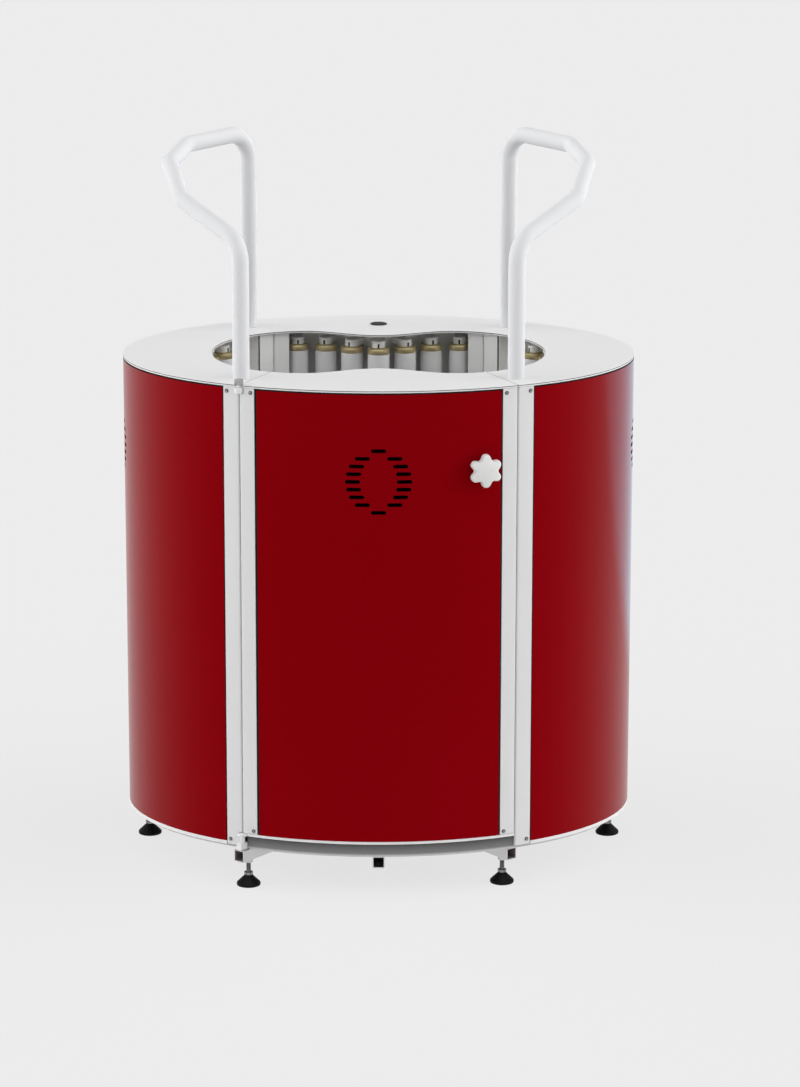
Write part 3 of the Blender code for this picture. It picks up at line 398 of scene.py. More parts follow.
def tread_recipe(start):
    spot = start.node("TexCoord", {}, {}, "Object")
    pimple = start.node("TexVoronoi", {}, {"Vector": spot, "Scale": 260.0})
    scuffs = grain(start, 11.0, (1, 0.4, 1), 5.0)
    return {"Base Color": tint(start, scuffs, (0.23, 0.23, 0.235), (0.34, 0.34, 0.345)),
            "Roughness": 0.48 + 0.20 * scuffs, "Normal": relief(start, pimple, 0.0002)}


BOARD = finish("laminated_board", board_recipe)
TREAD = finish("board_tread", tread_recipe)
BOARD_EDGE = 0.0012
shape = softened("foot_platform", BOARD_EDGE)
for face in shape.faces:
    if face.calc_center_median().z > board_high.z - BOARD_EDGE / 4:
        face.material_index = 1
fit("foot_platform_board", shape, [BOARD, TREAD], BODY["foot_platform"], "grey_board", "foot_platform")


# Posts: folded sheet-steel channels that close the edges of each section. Their outer strips, between the
# panels, are powder coated white, in a darker copy of the plates' coat that is painted shade, and their inner
# faces, in the well, have a brushed satin finish, made much lighter than the white coat as painted light.
def powder(name, low, high):
    """White powder coat, which varies a little between two greys."""
    def recipe(start):
        peel = grain(start, 620.0, detail=2.0)
        clouds = grain(start, 5.0, detail=3.0)
        return {"Base Color": tint(start, clouds, (low, low, low + COOL_TOUCH), (high, high, high)),
                "Roughness": 0.30 + 0.10 * peel + 0.06 * clouds, "Specular IOR Level": 0.4,
                "Normal": relief(start, peel, 0.00003)}

    return finish(name, recipe)


def lit_satin_recipe(start):
    brushed = grain(start, 800.0, (1, 1, 0.02), 3.0)
    return {"Base Color": tint(start, brushed, (0.88, 0.88, 0.87), (0.95, 0.95, 0.94)),
            "Roughness": 0.38 + 0.12 * brushed, "Normal": relief(start, brushed, 0.00001)}


COOL_TOUCH = 0.005
POWDER = powder("white_powder_coat", 0.725, 0.765)
# The strips' coat is a darker copy of the white coat: painted shade. The inner satin is far lighter: painted
# light.
SHADED_STRIP_POWDER = powder("strip_powder_painted_shade", 0.66, 0.70)
LIT_SATIN = finish("satin_inside_painted_light", lit_satin_recipe)
FOLD_RADIUS = 0.0009
STRIP_DEPTH = 0.975
RIM_X = cad_box[1][0]
RIM_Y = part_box("top_plate")[1].y
for node in [name for name in BODY if name.endswith("_post")]:
    shape = softened(node, FOLD_RADIUS)
    for face in shape.faces:
        centre = face.calc_center_median()
        if math.hypot(centre.x / RIM_X, centre.y / RIM_Y) < STRIP_DEPTH:
            face.material_index = 1
    fit(node + "_channel", shape, [SHADED_STRIP_POWDER, LIT_SATIN], BODY[node], "white_paint", node)


# Door hinge: a steel bolt through the top plates, with its plated head above them and a white coat on its
# shank and on the nut below, and a white pivot block on the tube. The head's plating is darker than the other
# zinc, as a painted dark reflection.
# Darker than the other zinc plating: a painted dark reflection on the bolt's head.
PAINTED_REFLECTION_ZINC = plated("hinge_zinc_painted_reflection", 0.26, 0.56)
HINGE_EDGE = 0.0006
plate_low, plate_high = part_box("top_plate")
shape = softened("upper_hinge_pin", HINGE_EDGE)
for face in shape.faces:
    if face.calc_center_median().z < plate_high.z:
        face.material_index = 1
fit("upper_hinge_bolt", shape, [PAINTED_REFLECTION_ZINC, POWDER], BODY["upper_hinge_pin"], "bare_steel", "upper_hinge_pin")
dress("lower_pivot_block", "lower_pivot_forging", POWDER, "white_paint", HINGE_EDGE)


# Top plates and the door's floor: a face sheet on a thicker plate, powder coated white, with a shadow groove
# between the two whose faces are coloured black as painted shade. The fixed plate and the door's own piece
# meet at two seams with a rubber strip in each.
def rubber_and_shade_recipe(start):
    bloom = grain(start, 60.0, detail=3.0)
    return {"Base Color": tint(start, bloom, (0.002, 0.002, 0.002), (0.006, 0.006, 0.006)),
            "Roughness": 0.55 + 0.20 * bloom, "Specular IOR Level": 0.15,
            "Normal": relief(start, bloom, 0.00005)}


RUBBER_AND_SHADE = finish("black_rubber", rubber_and_shade_recipe)
DOOR_HALF_WIDTH = 0.2265
SEAM_HALF_GAP = 0.0006
WELL_HALF_WIDTH = 0.281
WELL_LOBE_X = 0.125
WELL_LOBE_HALF_DEPTH = 0.182
WELL_WAIST_HALF_DEPTH = 0.143
RIM_STEP = math.radians(1.5)
WELL_STEP = 0.02
SEAM_ANGLE = math.asin(DOOR_HALF_WIDTH / RIM_X)


def rim_out(angle):
    """Direction square to the oval rim. Angle zero is the door's middle, a right angle the right side."""
    return Vector((RIM_Y * math.sin(angle), -RIM_X * math.cos(angle))).normalized()


def rim(angle, inset=0.0):
    """A point on the rim, or inside it by an inset."""
    return Vector((RIM_X * math.sin(angle), -RIM_Y * math.cos(angle))) - inset * rim_out(angle)


def rim_walk(angle, distance):
    """The rim angle a given length further round."""
    steps = 24
    for _ in range(steps):
        angle += distance / steps / math.hypot(RIM_X * math.cos(angle), RIM_Y * math.sin(angle))
    return angle


def rim_arc(start, end, inset=0.0, count=0):
    """Points along the rim."""
    count = count or max(2, math.ceil(abs(end - start) / RIM_STEP))
    return [rim(start + (end - start) * i / count, inset) for i in range(count + 1)]


def well_edge(turn):
    """A point on the edge of the leg well, in quarter turns from the door's middle and first to the right."""
    quarter, part = divmod(turn % 4.0, 1.0)
    part = part if quarter % 2 == 0 else 1.0 - part
    if part < 0.5:
        swell = (1 - math.cos(2 * math.pi * part)) / 2
        x = 2 * WELL_LOBE_X * part
        y = WELL_WAIST_HALF_DEPTH + (WELL_LOBE_HALF_DEPTH - WELL_WAIST_HALF_DEPTH) * swell
    else:
        swing = (part - 0.5) * math.pi
        x = WELL_LOBE_X + (WELL_HALF_WIDTH - WELL_LOBE_X) * math.sin(swing)
        y = WELL_LOBE_HALF_DEPTH * math.cos(swing)
    return Vector((x if quarter < 2 else -x, -y if quarter in (0, 3) else y))


def well(turn, setback=0.0):
    """A point behind the well's edge, squared off from it."""
    small = 1e-4
    along = (well_edge(turn + small) - well_edge(turn - small)).normalized()
    return well_edge(turn) + setback * Vector((along.y, -along.x))


def well_arc(start, end, setback=0.0, count=0):
    """Points along a line behind the well's edge."""
    count = count or max(2, math.ceil(abs(end - start) / WELL_STEP))
    return [well(start + (end - start) * i / count, setback) for i in range(count + 1)]


def seam_turn(reach, setback=0.0):
    """The turn at which a line behind the well's edge stands off the right-hand seam by a reach."""
    inward = -rim_out(SEAM_ANGLE)
    sideways = Vector((inward.y, -inward.x))
    low, high = 0.0, 1.0
    halvings = 40
    for _ in range(halvings):
        middle = (low + high) / 2
        if (well(middle, setback) - rim(SEAM_ANGLE)).dot(sideways) < reach:
            low = middle
        else:
            high = middle
    return low


def cut(shape, cutter):
    """Takes one shape out of another."""
    pair = []
    for part in (shape, cutter):
        bmesh.ops.recalc_face_normals(part, faces=part.faces[:])
        mesh = bpy.data.meshes.new("cut")
        part.to_mesh(mesh)
        part.free()
        pair.append(add("cut", mesh))
    step = pair[0].modifiers.new("cut", 'BOOLEAN')
    step.operation = 'DIFFERENCE'
    step.object = pair[1]
    left = bmesh.new()
    left.from_object(pair[0], bpy.context.evaluated_depsgraph_get())
    for spare in pair:
        bpy.data.meshes.remove(spare.data)
    return left


def bore(x, y, radius, into=None):
    """A long upright cutter."""
    return slab([(x + px, y + py) for px, py in circle(radius, BORE_SIDES)], BORE_LOW, BORE_HIGH, into)


BORE_SIDES = 32
BORE_LOW = 0.5
BORE_HIGH = 1.0
RAIL_RADIUS = 0.014
RAIL_CLEARANCE = 0.0003
RAIL_LEG = Vector((0.2245, 0.2190))
HINGE_HOLE = 0.0044
BEZEL_HOLE = 0.0118
PLATE_EDGE = 0.0003
FACE_SHEET = 0.0008
GROOVE_HEIGHT = 0.0010
GROOVE_DEPTH = 0.0018
GROOVE_TOLERANCE = 1e-5
HINGE_CLEAR = 0.012
STRIP_HALF_WIDTH = 0.0005
RIM_PARTS = 150
WELL_PARTS = 150
DOOR_FLOOR_EDGE = 0.0008
BUTTON_Y = middle_of("button_bezel").y
PLATE_TOP = plate_high.z
hinge_spot = rim(-SEAM_ANGLE)
groove_top = PLATE_TOP - FACE_SHEET
groove_low = groove_top - GROOVE_HEIGHT
plate_section = ((PLATE_EDGE, plate_low.z), (0, plate_low.z + PLATE_EDGE),
                 (0, groove_low), (GROOVE_DEPTH, groove_low), (GROOVE_DEPTH, groove_top), (0, groove_top),
                 (0, PLATE_TOP - PLATE_EDGE), (PLATE_EDGE, PLATE_TOP))


def plate(middle, way):
    """The plate round a quarter turn, between the rim and the well, with a shadow groove in its edge.

    It ends at the two seams: way is 1 for the plate behind them and -1 for the one in front.
    """
    middle_angle = middle * math.pi / 2
    rings = []
    for inset, z in plate_section:
        gap = way * (SEAM_HALF_GAP + inset)
        reach = rim_walk(SEAM_ANGLE, gap) - middle_angle
        turn = seam_turn(gap, inset) - middle
        outline = rim_arc(middle_angle + reach, middle_angle - reach, inset, RIM_PARTS)
        outline += well_arc(middle - turn, middle + turn, inset, WELL_PARTS)
        rings.append([(x, y, z) for x, y in outline])
    shape = skin(rings)
    # The groove's faces are coloured black: painted shade.
    for face in shape.faces:
        if groove_low - GROOVE_TOLERANCE < face.calc_center_median().z < groove_top + GROOVE_TOLERANCE:
            face.material_index = 1
    return shape


holes = bore(0, BUTTON_Y, BEZEL_HOLE)
for side in (-1, 1):
    for end in (-1, 1):
        bore(side * RAIL_LEG.x, end * RAIL_LEG.y, RAIL_RADIUS + RAIL_CLEARANCE, holes)
shape = cut(plate(2, 1), holes)
shape = cut(shape, bore(*hinge_spot, HINGE_HOLE))
fit("top_plate_sheet", shape, [POWDER, RUBBER_AND_SHADE], "cabinet", "white_paint", "top_plate")
shape = cut(plate(0, -1), bore(*hinge_spot, HINGE_HOLE))
fit("door_top_plate_sheet", shape, [POWDER, RUBBER_AND_SHADE], "door", "white_paint", "door_top_plate")
shape = bmesh.new()
for side, inset in ((-1, HINGE_CLEAR), (1, PLATE_EDGE)):
    outer = rim(side * SEAM_ANGLE, inset)
    inner = well(side * seam_turn(0.0))
    across = (outer - inner).orthogonal().normalized() * STRIP_HALF_WIDTH
    slab([outer + across, outer - across, inner - across, inner + across], plate_low.z,
         PLATE_TOP - PLATE_EDGE, shape)
fit("plate_seam_strips", shape, [RUBBER_AND_SHADE], "cabinet", "black_plastic")
dress("door_bottom_plate", "door_bottom_plate_sheet", POWDER, "white_paint", DOOR_FLOOR_EDGE)


# Panels: curved steel sheet sprayed a deep glossy red, with a ring of vent slots in each. They stand between
# the posts, with a black fill in the gaps round the ends and the top that is painted shade, and the fixed
# ones end in a white trim below.
def orange_peel(start):
    """The slight waves of sprayed lacquer."""
    return relief(start, grain(start, 260.0, detail=1.0), 0.000012)


def lacquer_recipe(start):
    clouds = grain(start, 2.2, detail=2.0)
    return {"Base Color": tint(start, clouds, (0.205, 0.0004, 0.0024), (0.240, 0.0008, 0.0044)),
            "Roughness": 0.30 + 0.10 * clouds, "Specular IOR Level": 0.0, "Normal": orange_peel(start)}


def gloss_over(paint, strength, steepness, roughness):
    """Lays a clear gloss on a paint, which mirrors more where the surface turns away."""
    nodes = paint.node_tree.nodes
    start = Signal(paint.node_tree)
    peel = orange_peel(start)
    turned = start.node("LayerWeight", {}, {"Blend": 0.5, "Normal": peel}, "Facing")
    mirror = start.node("BsdfGlossy", {}, {"Color": WHITE, "Roughness": roughness, "Normal": peel})
    under = Signal(paint.node_tree, nodes["Principled BSDF"].outputs[0])
    start.feed(nodes["Material Output"], {"Surface": start.node(
        "MixShader", {}, {0: strength * turned ** steepness, 1: under, 2: mirror})})


WHITE = (1, 1, 1, 1)
LACQUER = finish("red_lacquer", lacquer_recipe)
gloss_over(LACQUER, strength=0.58, steepness=3.7, roughness=0.12)
VENT_DROP = 0.1505
VENT_RADIUS = 0.0545
VENT_ROWS = 9
VENT_PITCH = 0.0128
VENT_LENGTH = 0.0248
VENT_HEIGHT = 0.0064
VENT_END_STEPS = 8
VENT_CUT = 0.02
PANEL_SHEET = 0.002
PANEL_REVEAL = 0.0019
SHADE_FILL_INSET = 0.0006
HINGE_SHADE_GAP = 0.0026
LOCK_SHADE_GAP = 0.0014
SIDE_SHADE_GAP = 0.0012
TRIM_HEIGHT = 0.0052
TRIM_PROUD = 0.0005
TRIM_EDGE = 0.0004


def facing(angle, height):
    """A place on the rim, with X along the wall, Y up and Z out."""
    out = rim_out(angle)
    spot = rim(angle)
    return Matrix(((-out.y, 0, out.x, spot.x), (out.x, 0, out.y, spot.y), (0, 1, 0, height), (0, 0, 0, 1)))


def moved(shape, matrix):
    """Takes a shape to a place."""
    bmesh.ops.transform(shape, matrix=matrix, verts=shape.verts[:])
    return shape


def capsule(length, height, middle):
    """The outline of a slot with round ends."""
    end = height / 2
    points = []
    for side in (1, -1):
        for step in range(VENT_END_STEPS + 1):
            angle = math.pi * (step / VENT_END_STEPS - side * 0.5)
            across = side * (length / 2 - end) + end * math.cos(angle)
            points.append((middle[0] + across, middle[1] + end * math.sin(angle)))
    return points


def vent_slots():
    """The cutter for a ring of slots: one in its top and bottom rows, two in each row between."""
    slots = bmesh.new()
    last = VENT_ROWS // 2
    for row in range(-last, last + 1):
        height = row * VENT_PITCH
        outer = math.sqrt(VENT_RADIUS ** 2 - height ** 2) - VENT_LENGTH / 2
        for middle in ([0.0] if abs(row) == last else [-outer, outer]):
            slab(capsule(VENT_LENGTH, VENT_HEIGHT, (middle, height)), -VENT_CUT, VENT_CUT, slots)
    return slots


def wall(start, end, front, back, low, high):
    """A curved sheet that follows the rim."""
    return slab(rim_arc(start, end, front) + rim_arc(end, start, back), low, high)


def panel(node, start, end, body, first_gap, last_gap):
    """A vented panel between two angles, and a black fill of painted shade round its ends and its top."""
    low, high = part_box(node)
    first, last = rim_walk(start, first_gap), rim_walk(end, -last_gap)
    shape = wall(first, last, 0.0, PANEL_SHEET, low.z, high.z - PANEL_REVEAL)
    shape = cut(shape, moved(vent_slots(), facing((start + end) / 2, PLATE_TOP - VENT_DROP)))
    fit(node + "_sheet", shape, [LACQUER], body, "red_gloss", node)
    # The black fill in the gaps at the ends and the top is painted shade.
    shape = wall(start, first, SHADE_FILL_INSET, PANEL_SHEET, low.z, high.z)
    merge(shape, wall(last, end, SHADE_FILL_INSET, PANEL_SHEET, low.z, high.z))
    merge(shape, wall(first, last, SHADE_FILL_INSET, PANEL_SHEET, high.z - PANEL_REVEAL, high.z))
    fit(node + "_seal", shape, [RUBBER_AND_SHADE], body, "black_plastic", node)


side_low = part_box("right_panel")[0]
side_start = math.acos(-side_low.y / RIM_Y)
back_half = math.asin(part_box("back_panel")[1].x / RIM_X)
door_half = math.asin(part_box("door_panel")[1].x / RIM_X)
fixed_panels = (("right_panel", side_start, math.pi - side_start),
                ("left_panel", math.pi + side_start, 2 * math.pi - side_start),
                ("back_panel", math.pi - back_half, math.pi + back_half))
for node, start, end in fixed_panels:
    panel(node, start, end, "cabinet", SIDE_SHADE_GAP, SIDE_SHADE_GAP)
panel("door_panel", -door_half, door_half, "door", HINGE_SHADE_GAP, LOCK_SHADE_GAP)
for node, start, end in fixed_panels:
    shape = wall(start, end, -TRIM_PROUD, PANEL_SHEET + TRIM_PROUD,
                 side_low.z - TRIM_PROUD, side_low.z + TRIM_HEIGHT)
    fit(node + "_trim", rounded(shape, TRIM_EDGE), [POWDER], "cabinet", "white_paint")


# Strip screws: small dark plated pan-head screws with a cross recess, their crowns in bright zinc as a
# painted highlight. They hold each white strip at its two ends.
DARK_ZINC = plated("dark_zinc", 0.05, 0.13)
SCREW_RADIUS = 0.0032
SCREW_HEIGHT = 0.0021
SCREW_SUNK = 0.0005
SCREW_RIM = 0.0006
SCREW_FULLNESS = 0.7
SCREW_STEPS = 6
SCREW_SIDES = 24
CROSS_REACH = 0.0019
CROSS_HALF = 0.00035
CROSS_DEPTH = 0.0012
CROSS_CLEAR = 0.001
HIGHLIGHT_CROWN = 0.0018
SCREW_TOP_LEVEL = 0.844
CABINET_SCREW_LEVEL = 0.0811
DOOR_SCREW_LEVEL = 0.1000
SIDE_SCREW = 0.0225
DOOR_SCREW = -0.0205


def strip_screws(angles, levels):
    """The screws at the given places round the rim."""
    shape = bmesh.new()
    profile = [(SCREW_RADIUS, -SCREW_SUNK), (SCREW_RADIUS, SCREW_RIM)]
    for step in range(1, SCREW_STEPS):
        swing = math.pi / 2 * step / SCREW_STEPS
        profile.append((SCREW_RADIUS * math.cos(swing) ** SCREW_FULLNESS,
                        SCREW_RIM + (SCREW_HEIGHT - SCREW_RIM) * math.sin(swing)))
    corners = []
    for x, y in ((1, 0), (0, 1), (-1, 0), (0, -1)):
        for reach, half in ((CROSS_REACH, -CROSS_HALF), (CROSS_REACH, CROSS_HALF), (CROSS_HALF, CROSS_HALF)):
            corners.append((reach * x - half * y, reach * y + half * x))
    for angle in angles:
        for level in levels:
            cross = slab(corners, SCREW_HEIGHT - CROSS_DEPTH, SCREW_HEIGHT + CROSS_CLEAR)
            head = cut(lathe(profile, SCREW_SIDES), cross)
            # Faces above the crown height take the bright zinc: a painted highlight.
            for face in head.faces:
                face.material_index = int(face.calc_center_median().z > HIGHLIGHT_CROWN)
            merge(shape, moved(head, facing(angle, level)))
    return shape


by_side, by_door = rim_walk(SEAM_ANGLE, SIDE_SCREW), rim_walk(SEAM_ANGLE, DOOR_SCREW)
on_cabinet = [by_side, -by_side, math.pi - by_side, math.pi + by_side, math.pi - by_door, math.pi + by_door]
shape = strip_screws(on_cabinet, (SCREW_TOP_LEVEL, CABINET_SCREW_LEVEL))
fit("cabinet_strip_screws", shape, [DARK_ZINC, ZINC_AND_HIGHLIGHT], "cabinet", "bare_steel")
shape = strip_screws([by_door, -by_door], (SCREW_TOP_LEVEL, DOOR_SCREW_LEVEL))
fit("door_strip_screws", shape, [DARK_ZINC, ZINC_AND_HIGHLIGHT], "door", "bare_steel")


# Fans: a square axial fan behind the vents of each panel, moulded in a dull black plastic. The housing is
# fixed behind the panel, and the impeller turns in it.
DULL_MOULDING_AND_SHADE = moulding("dull_moulding_and_painted_shade", 0.0)
HOUSING_EDGE = 0.0006
IMPELLER_EDGE = 0.0004
for section in ("door", "right", "back", "left"):
    dress(section + "_fan_frame", section + "_fan_housing", DULL_MOULDING_AND_SHADE, "black_plastic", HOUSING_EDGE)
    dress(section + "_fan_rotor", section + "_fan_impeller", DULL_MOULDING_AND_SHADE, "black_plastic", IMPELLER_EDGE)


# Reflectors and lamp holders: rolled sheet behind each bank, bright towards the lamps and coloured dull
# black at the back as painted shade, and a pair of white moulded holders for each lamp, squared to the curve
# of the well.
def rolled_recipe(start):
    drawn = grain(start, 700.0, (1, 1, 0.01), 3.0)
    clouds = grain(start, 12.0, detail=3.0)
    return {"Base Color": tint(start, drawn, (0.93, 0.935, 0.90), (0.97, 0.97, 0.945)), "Metallic": 0.10,
            "Roughness": 0.30 + 0.10 * clouds + 0.06 * drawn, "Normal": relief(start, drawn, 0.00001)}


def holder_recipe(start):
    flow = grain(start, 160.0, detail=2.0)
    return {"Base Color": tint(start, flow, (0.90, 0.90, 0.88), (0.95, 0.95, 0.93)),
            "Roughness": 0.32 + 0.12 * flow, "Normal": relief(start, flow, 0.00002)}


ROLLED = finish("rolled_reflector", rolled_recipe)
HOLDER_WHITE = finish("holder_white", holder_recipe)
LAMPS_PER_BANK = 7
LAMP_RADIUS = 0.019
LAMP_PITCH = 0.0485
LAMP_LINE = 0.030
BANK_HALF = (LAMPS_PER_BANK - 1) / 2 * LAMP_PITCH
REFLECTOR_LINE = 0.057
REFLECTOR_SHEET = 0.0015
REFLECTOR_DROP = 0.0007
REFLECTOR_CLEAR = 0.0025
FLANGE_SETBACK = 0.0075
FLANGE_END = 0.0305
REFLECTOR_FOLD = 0.036
HOLDER_HALF_WIDTH = 0.0115
HOLDER_HEIGHT = 0.012
HOLDER_EDGE = 0.0009
HOLDER_TAIL = 0.004
HOLDER_GAP = 0.0003
NOSE_STEPS = 12
SLOT_HALF_WIDTH = 0.0014
SLOT_HEIGHT = 0.0072
SLOT_PROUD = 0.0002
SLOT_DEPTH = 0.003
SLOT_MARGIN = 0.0005
lamp_low, lamp_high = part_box("back_lamp_1")


def well_walk(turn, setback, distance):
    """The turn at a given length along a line behind the well's edge."""
    steps = 60
    small = 1e-3
    for _ in range(steps):
        speed = (well(turn + small, setback) - well(turn - small, setback)).length / (2 * small)
        turn += distance / steps / speed
    return turn


def lamp_spots(middle):
    """The centre of each lamp of a bank, and the direction from the well to it."""
    turns = [well_walk(middle, LAMP_LINE, i * LAMP_PITCH - BANK_HALF) for i in range(LAMPS_PER_BANK)]
    return [(well(turn, LAMP_LINE), well(turn, LAMP_LINE + 1) - well(turn, LAMP_LINE)) for turn in turns]


def ribbon(path, thickness):
    """The outline of a bent sheet."""
    copy = []
    for i, point in enumerate(path):
        before = (point - path[i - 1]).normalized() if i > 0 else (path[1] - point).normalized()
        after = (path[i + 1] - point).normalized() if i + 1 < len(path) else before
        left = Vector((-before.y - after.y, before.x + after.x))
        copy.append(point + left * thickness / (1 + before.dot(after)))
    return path + copy[::-1]


def reflector_path(middle):
    """The line of a sheet. Those at the two sides end in flanges, folded towards the well."""
    if middle % 2 == 0:
        end = seam_turn(-SEAM_HALF_GAP - REFLECTOR_CLEAR, REFLECTOR_LINE)
        return well_arc(middle - end, middle + end, REFLECTOR_LINE)
    fold = well_walk(middle, LAMP_LINE, BANK_HALF + REFLECTOR_FOLD)
    flange = well_walk(seam_turn(SEAM_HALF_GAP, FLANGE_SETBACK), FLANGE_SETBACK, FLANGE_END)
    end = middle + 1 - flange
    return ([well(2 * middle - end, FLANGE_SETBACK)] + well_arc(2 * middle - fold, fold, REFLECTOR_LINE)
            + [well(end, FLANGE_SETBACK)])


def holder(shape, spot, outward, low, slot_low):
    """One holder: a round nose at the lamp's end, a body that runs back through the sheet, a dark slot."""
    across = Vector((-outward.y, outward.x))
    back = outward * (REFLECTOR_LINE - LAMP_LINE + HOLDER_TAIL)
    outline = [spot + back + across * HOLDER_HALF_WIDTH]
    for step in range(NOSE_STEPS + 1):
        angle = math.pi * step / NOSE_STEPS
        outline.append(spot + HOLDER_HALF_WIDTH * (across * math.cos(angle) - outward * math.sin(angle)))
    outline.append(spot + back - across * HOLDER_HALF_WIDTH)
    part = rounded(slab(outline, low, low + HOLDER_HEIGHT), HOLDER_EDGE)
    front = spot - outward * (HOLDER_HALF_WIDTH + SLOT_PROUD)
    deep = spot - outward * (HOLDER_HALF_WIDTH - SLOT_DEPTH)
    half = across * SLOT_HALF_WIDTH
    slab([front - half, front + half, deep + half, deep - half], slot_low, slot_low + SLOT_HEIGHT, part, 1)
    merge(shape, part)


BANKS = (("door", 0, "door", "door_lamp_carrier"), ("right", 1, "cabinet", "right_lamp_bank"),
         ("back", 2, "cabinet", "back_lamp_carrier"), ("left", 3, "cabinet", "left_lamp_bank"))
for section, middle, body, node in BANKS:
    low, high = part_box(node)
    sheet = slab(ribbon(reflector_path(middle), -REFLECTOR_SHEET), low.z, plate_low.z - REFLECTOR_DROP)
    bmesh.ops.recalc_face_normals(sheet, faces=sheet.faces[:])
    # The back of each sheet takes the dull black moulding colour: painted shade behind the vents.
    for face in sheet.faces:
        face.material_index = int(face.normal.xy.dot(face.calc_center_median().xy) > 0)
    fit(section + "_reflector", sheet, [ROLLED, DULL_MOULDING_AND_SHADE], body, "reflector", node)
    shape = bmesh.new()
    upper_low = high.z - HOLDER_HEIGHT
    lower_top = lamp_low.z - HOLDER_GAP
    for spot, outward in lamp_spots(middle):
        holder(shape, spot, outward, upper_low, upper_low + SLOT_MARGIN)
        holder(shape, spot, outward, lower_top - HOLDER_HEIGHT, lower_top - SLOT_MARGIN - SLOT_HEIGHT)
    fit(section + "_lamp_holders", shape, [HOLDER_WHITE, BLACK_MOULDING], body, "white_plastic", node)


# Lamps: ultraviolet tubes of glass with a pale lilac phosphor inside and a brass-coloured cap pressed on each
# end. Each is held upright between two holders.
def phosphor_recipe(start):
    powder = grain(start, 90.0, (1, 1, 0.3), 3.0)
    return {"Base Color": tint(start, powder, (0.74, 0.735, 0.75), (0.82, 0.815, 0.825)),
            "Roughness": 0.14 + 0.10 * powder, "Coat Weight": 0.3, "Normal": relief(start, powder, 0.00002)}


def brass_recipe(start):
    spun = grain(start, 500.0, (0.05, 0.05, 1), 3.0)
    return {"Base Color": tint(start, spun, (0.47, 0.38, 0.19), (0.66, 0.56, 0.31)), "Metallic": 0.65,
            "Roughness": 0.30 + 0.14 * spun, "Normal": relief(start, spun, 0.00002)}


PHOSPHOR = finish("phosphor_glass", phosphor_recipe)
BRASS = finish("brass_cap", brass_recipe)
CAP_HEIGHT = 0.0105
CAP_EDGE = 0.0014
CAP_DISH = 0.0003
CAP_CORNER = 0.0004
CAP_LIP = 0.0005
CAP_LIP_HEIGHT = 0.0006
GLASS_TUCK = 0.0010
GLASS_NECK = 0.0012
SHOULDER_INSET = 0.0003
SHOULDER_LOW = 0.0010
SHOULDER_HIGH = 0.0026
LAMP_SIDES = 32
length = lamp_high.z - lamp_low.z
glass_end = [(LAMP_RADIUS - GLASS_NECK, CAP_HEIGHT - GLASS_TUCK),
             (LAMP_RADIUS - SHOULDER_INSET, CAP_HEIGHT + SHOULDER_LOW),
             (LAMP_RADIUS, CAP_HEIGHT + SHOULDER_HIGH)]
cap_profile = [(LAMP_RADIUS - 3 * CAP_EDGE, 0.0), (LAMP_RADIUS - CAP_EDGE, CAP_DISH),
               (LAMP_RADIUS - CAP_CORNER, CAP_EDGE), (LAMP_RADIUS, 2 * CAP_EDGE),
               (LAMP_RADIUS, CAP_HEIGHT - CAP_LIP_HEIGHT), (LAMP_RADIUS - CAP_LIP, CAP_HEIGHT)]
shape = lathe(glass_end + [(radius, length - z) for radius, z in reversed(glass_end)], LAMP_SIDES)
for base, way in ((0.0, 1), (length, -1)):
    lathe([(radius, base + way * z) for radius, z in cap_profile], LAMP_SIDES, shape, 1)
lamp_mesh = meshed("lamp_tube", shape, [PHOSPHOR, BRASS])
for section, middle, body, node in BANKS:
    for number, (spot, _) in enumerate(lamp_spots(middle), 1):
        own_node = f"{section}_lamp_{number}"
        stands_for = own_node if own_node in BODY else node
        fix(own_node + "_tube", lamp_mesh, body, [stands_for], (spot.x, spot.y, lamp_low.z))


# Hand rails: one steel tube a side, bent through five corners and coated white. Both of its legs pass down
# through the top plate.
def rail_recipe(start):
    clouds = grain(start, 14.0, detail=2.0)
    peel = grain(start, 420.0, detail=1.0)
    return {"Base Color": tint(start, clouds, (0.680, 0.683, 0.697), (0.710, 0.713, 0.725)),
            "Roughness": 0.30 + 0.08 * clouds, "Specular IOR Level": 0.03,
            "Normal": relief(start, peel, 0.00001)}


RAIL_WHITE = finish("rail_white", rail_recipe)
RAIL_BEND = 0.045
RAIL_BEND_STEPS = 10
RAIL_DEPTH = 0.115
RAIL_SIDES = 32
RAIL_PLAN = ((0, -RAIL_LEG.y), (0.1005, -0.100), (0.1235, 0), (0.1005, 0.100), (0, RAIL_LEG.y))
RAIL_RISES = (0.2225, 0.276, 0.320, 0.3355, 0.340)


def bent_path(corners, radius):
    """Swaps each inner corner of a path for an arc."""
    path = [corners[0]]
    for before, corner, after in zip(corners, corners[1:], corners[2:]):
        back = (before - corner).normalized()
        ahead = (after - corner).normalized()
        half = back.angle(ahead) / 2
        centre = corner + (back + ahead).normalized() * radius / math.sin(half)
        first = (corner + back * radius / math.tan(half) - centre).normalized()
        last = (corner + ahead * radius / math.tan(half) - centre).normalized()
        path += [centre + radius * first.slerp(last, step / RAIL_BEND_STEPS)
                 for step in range(RAIL_BEND_STEPS + 1)]
    return path + [corners[-1]]


def pipe(path, radius, sides):
    """A round tube along a path, carried round its bends without a twist."""
    rings = []
    aside = Vector((1, 0, 0))
    for i, point in enumerate(path):
        along = (path[min(i + 1, len(path) - 1)] - path[max(i - 1, 0)]).normalized()
        aside = (aside - along * aside.dot(along)).normalized()
        across = along.cross(aside)
        rings.append([point + aside * x + across * y for x, y in circle(radius, sides)])
    return skin(rings)


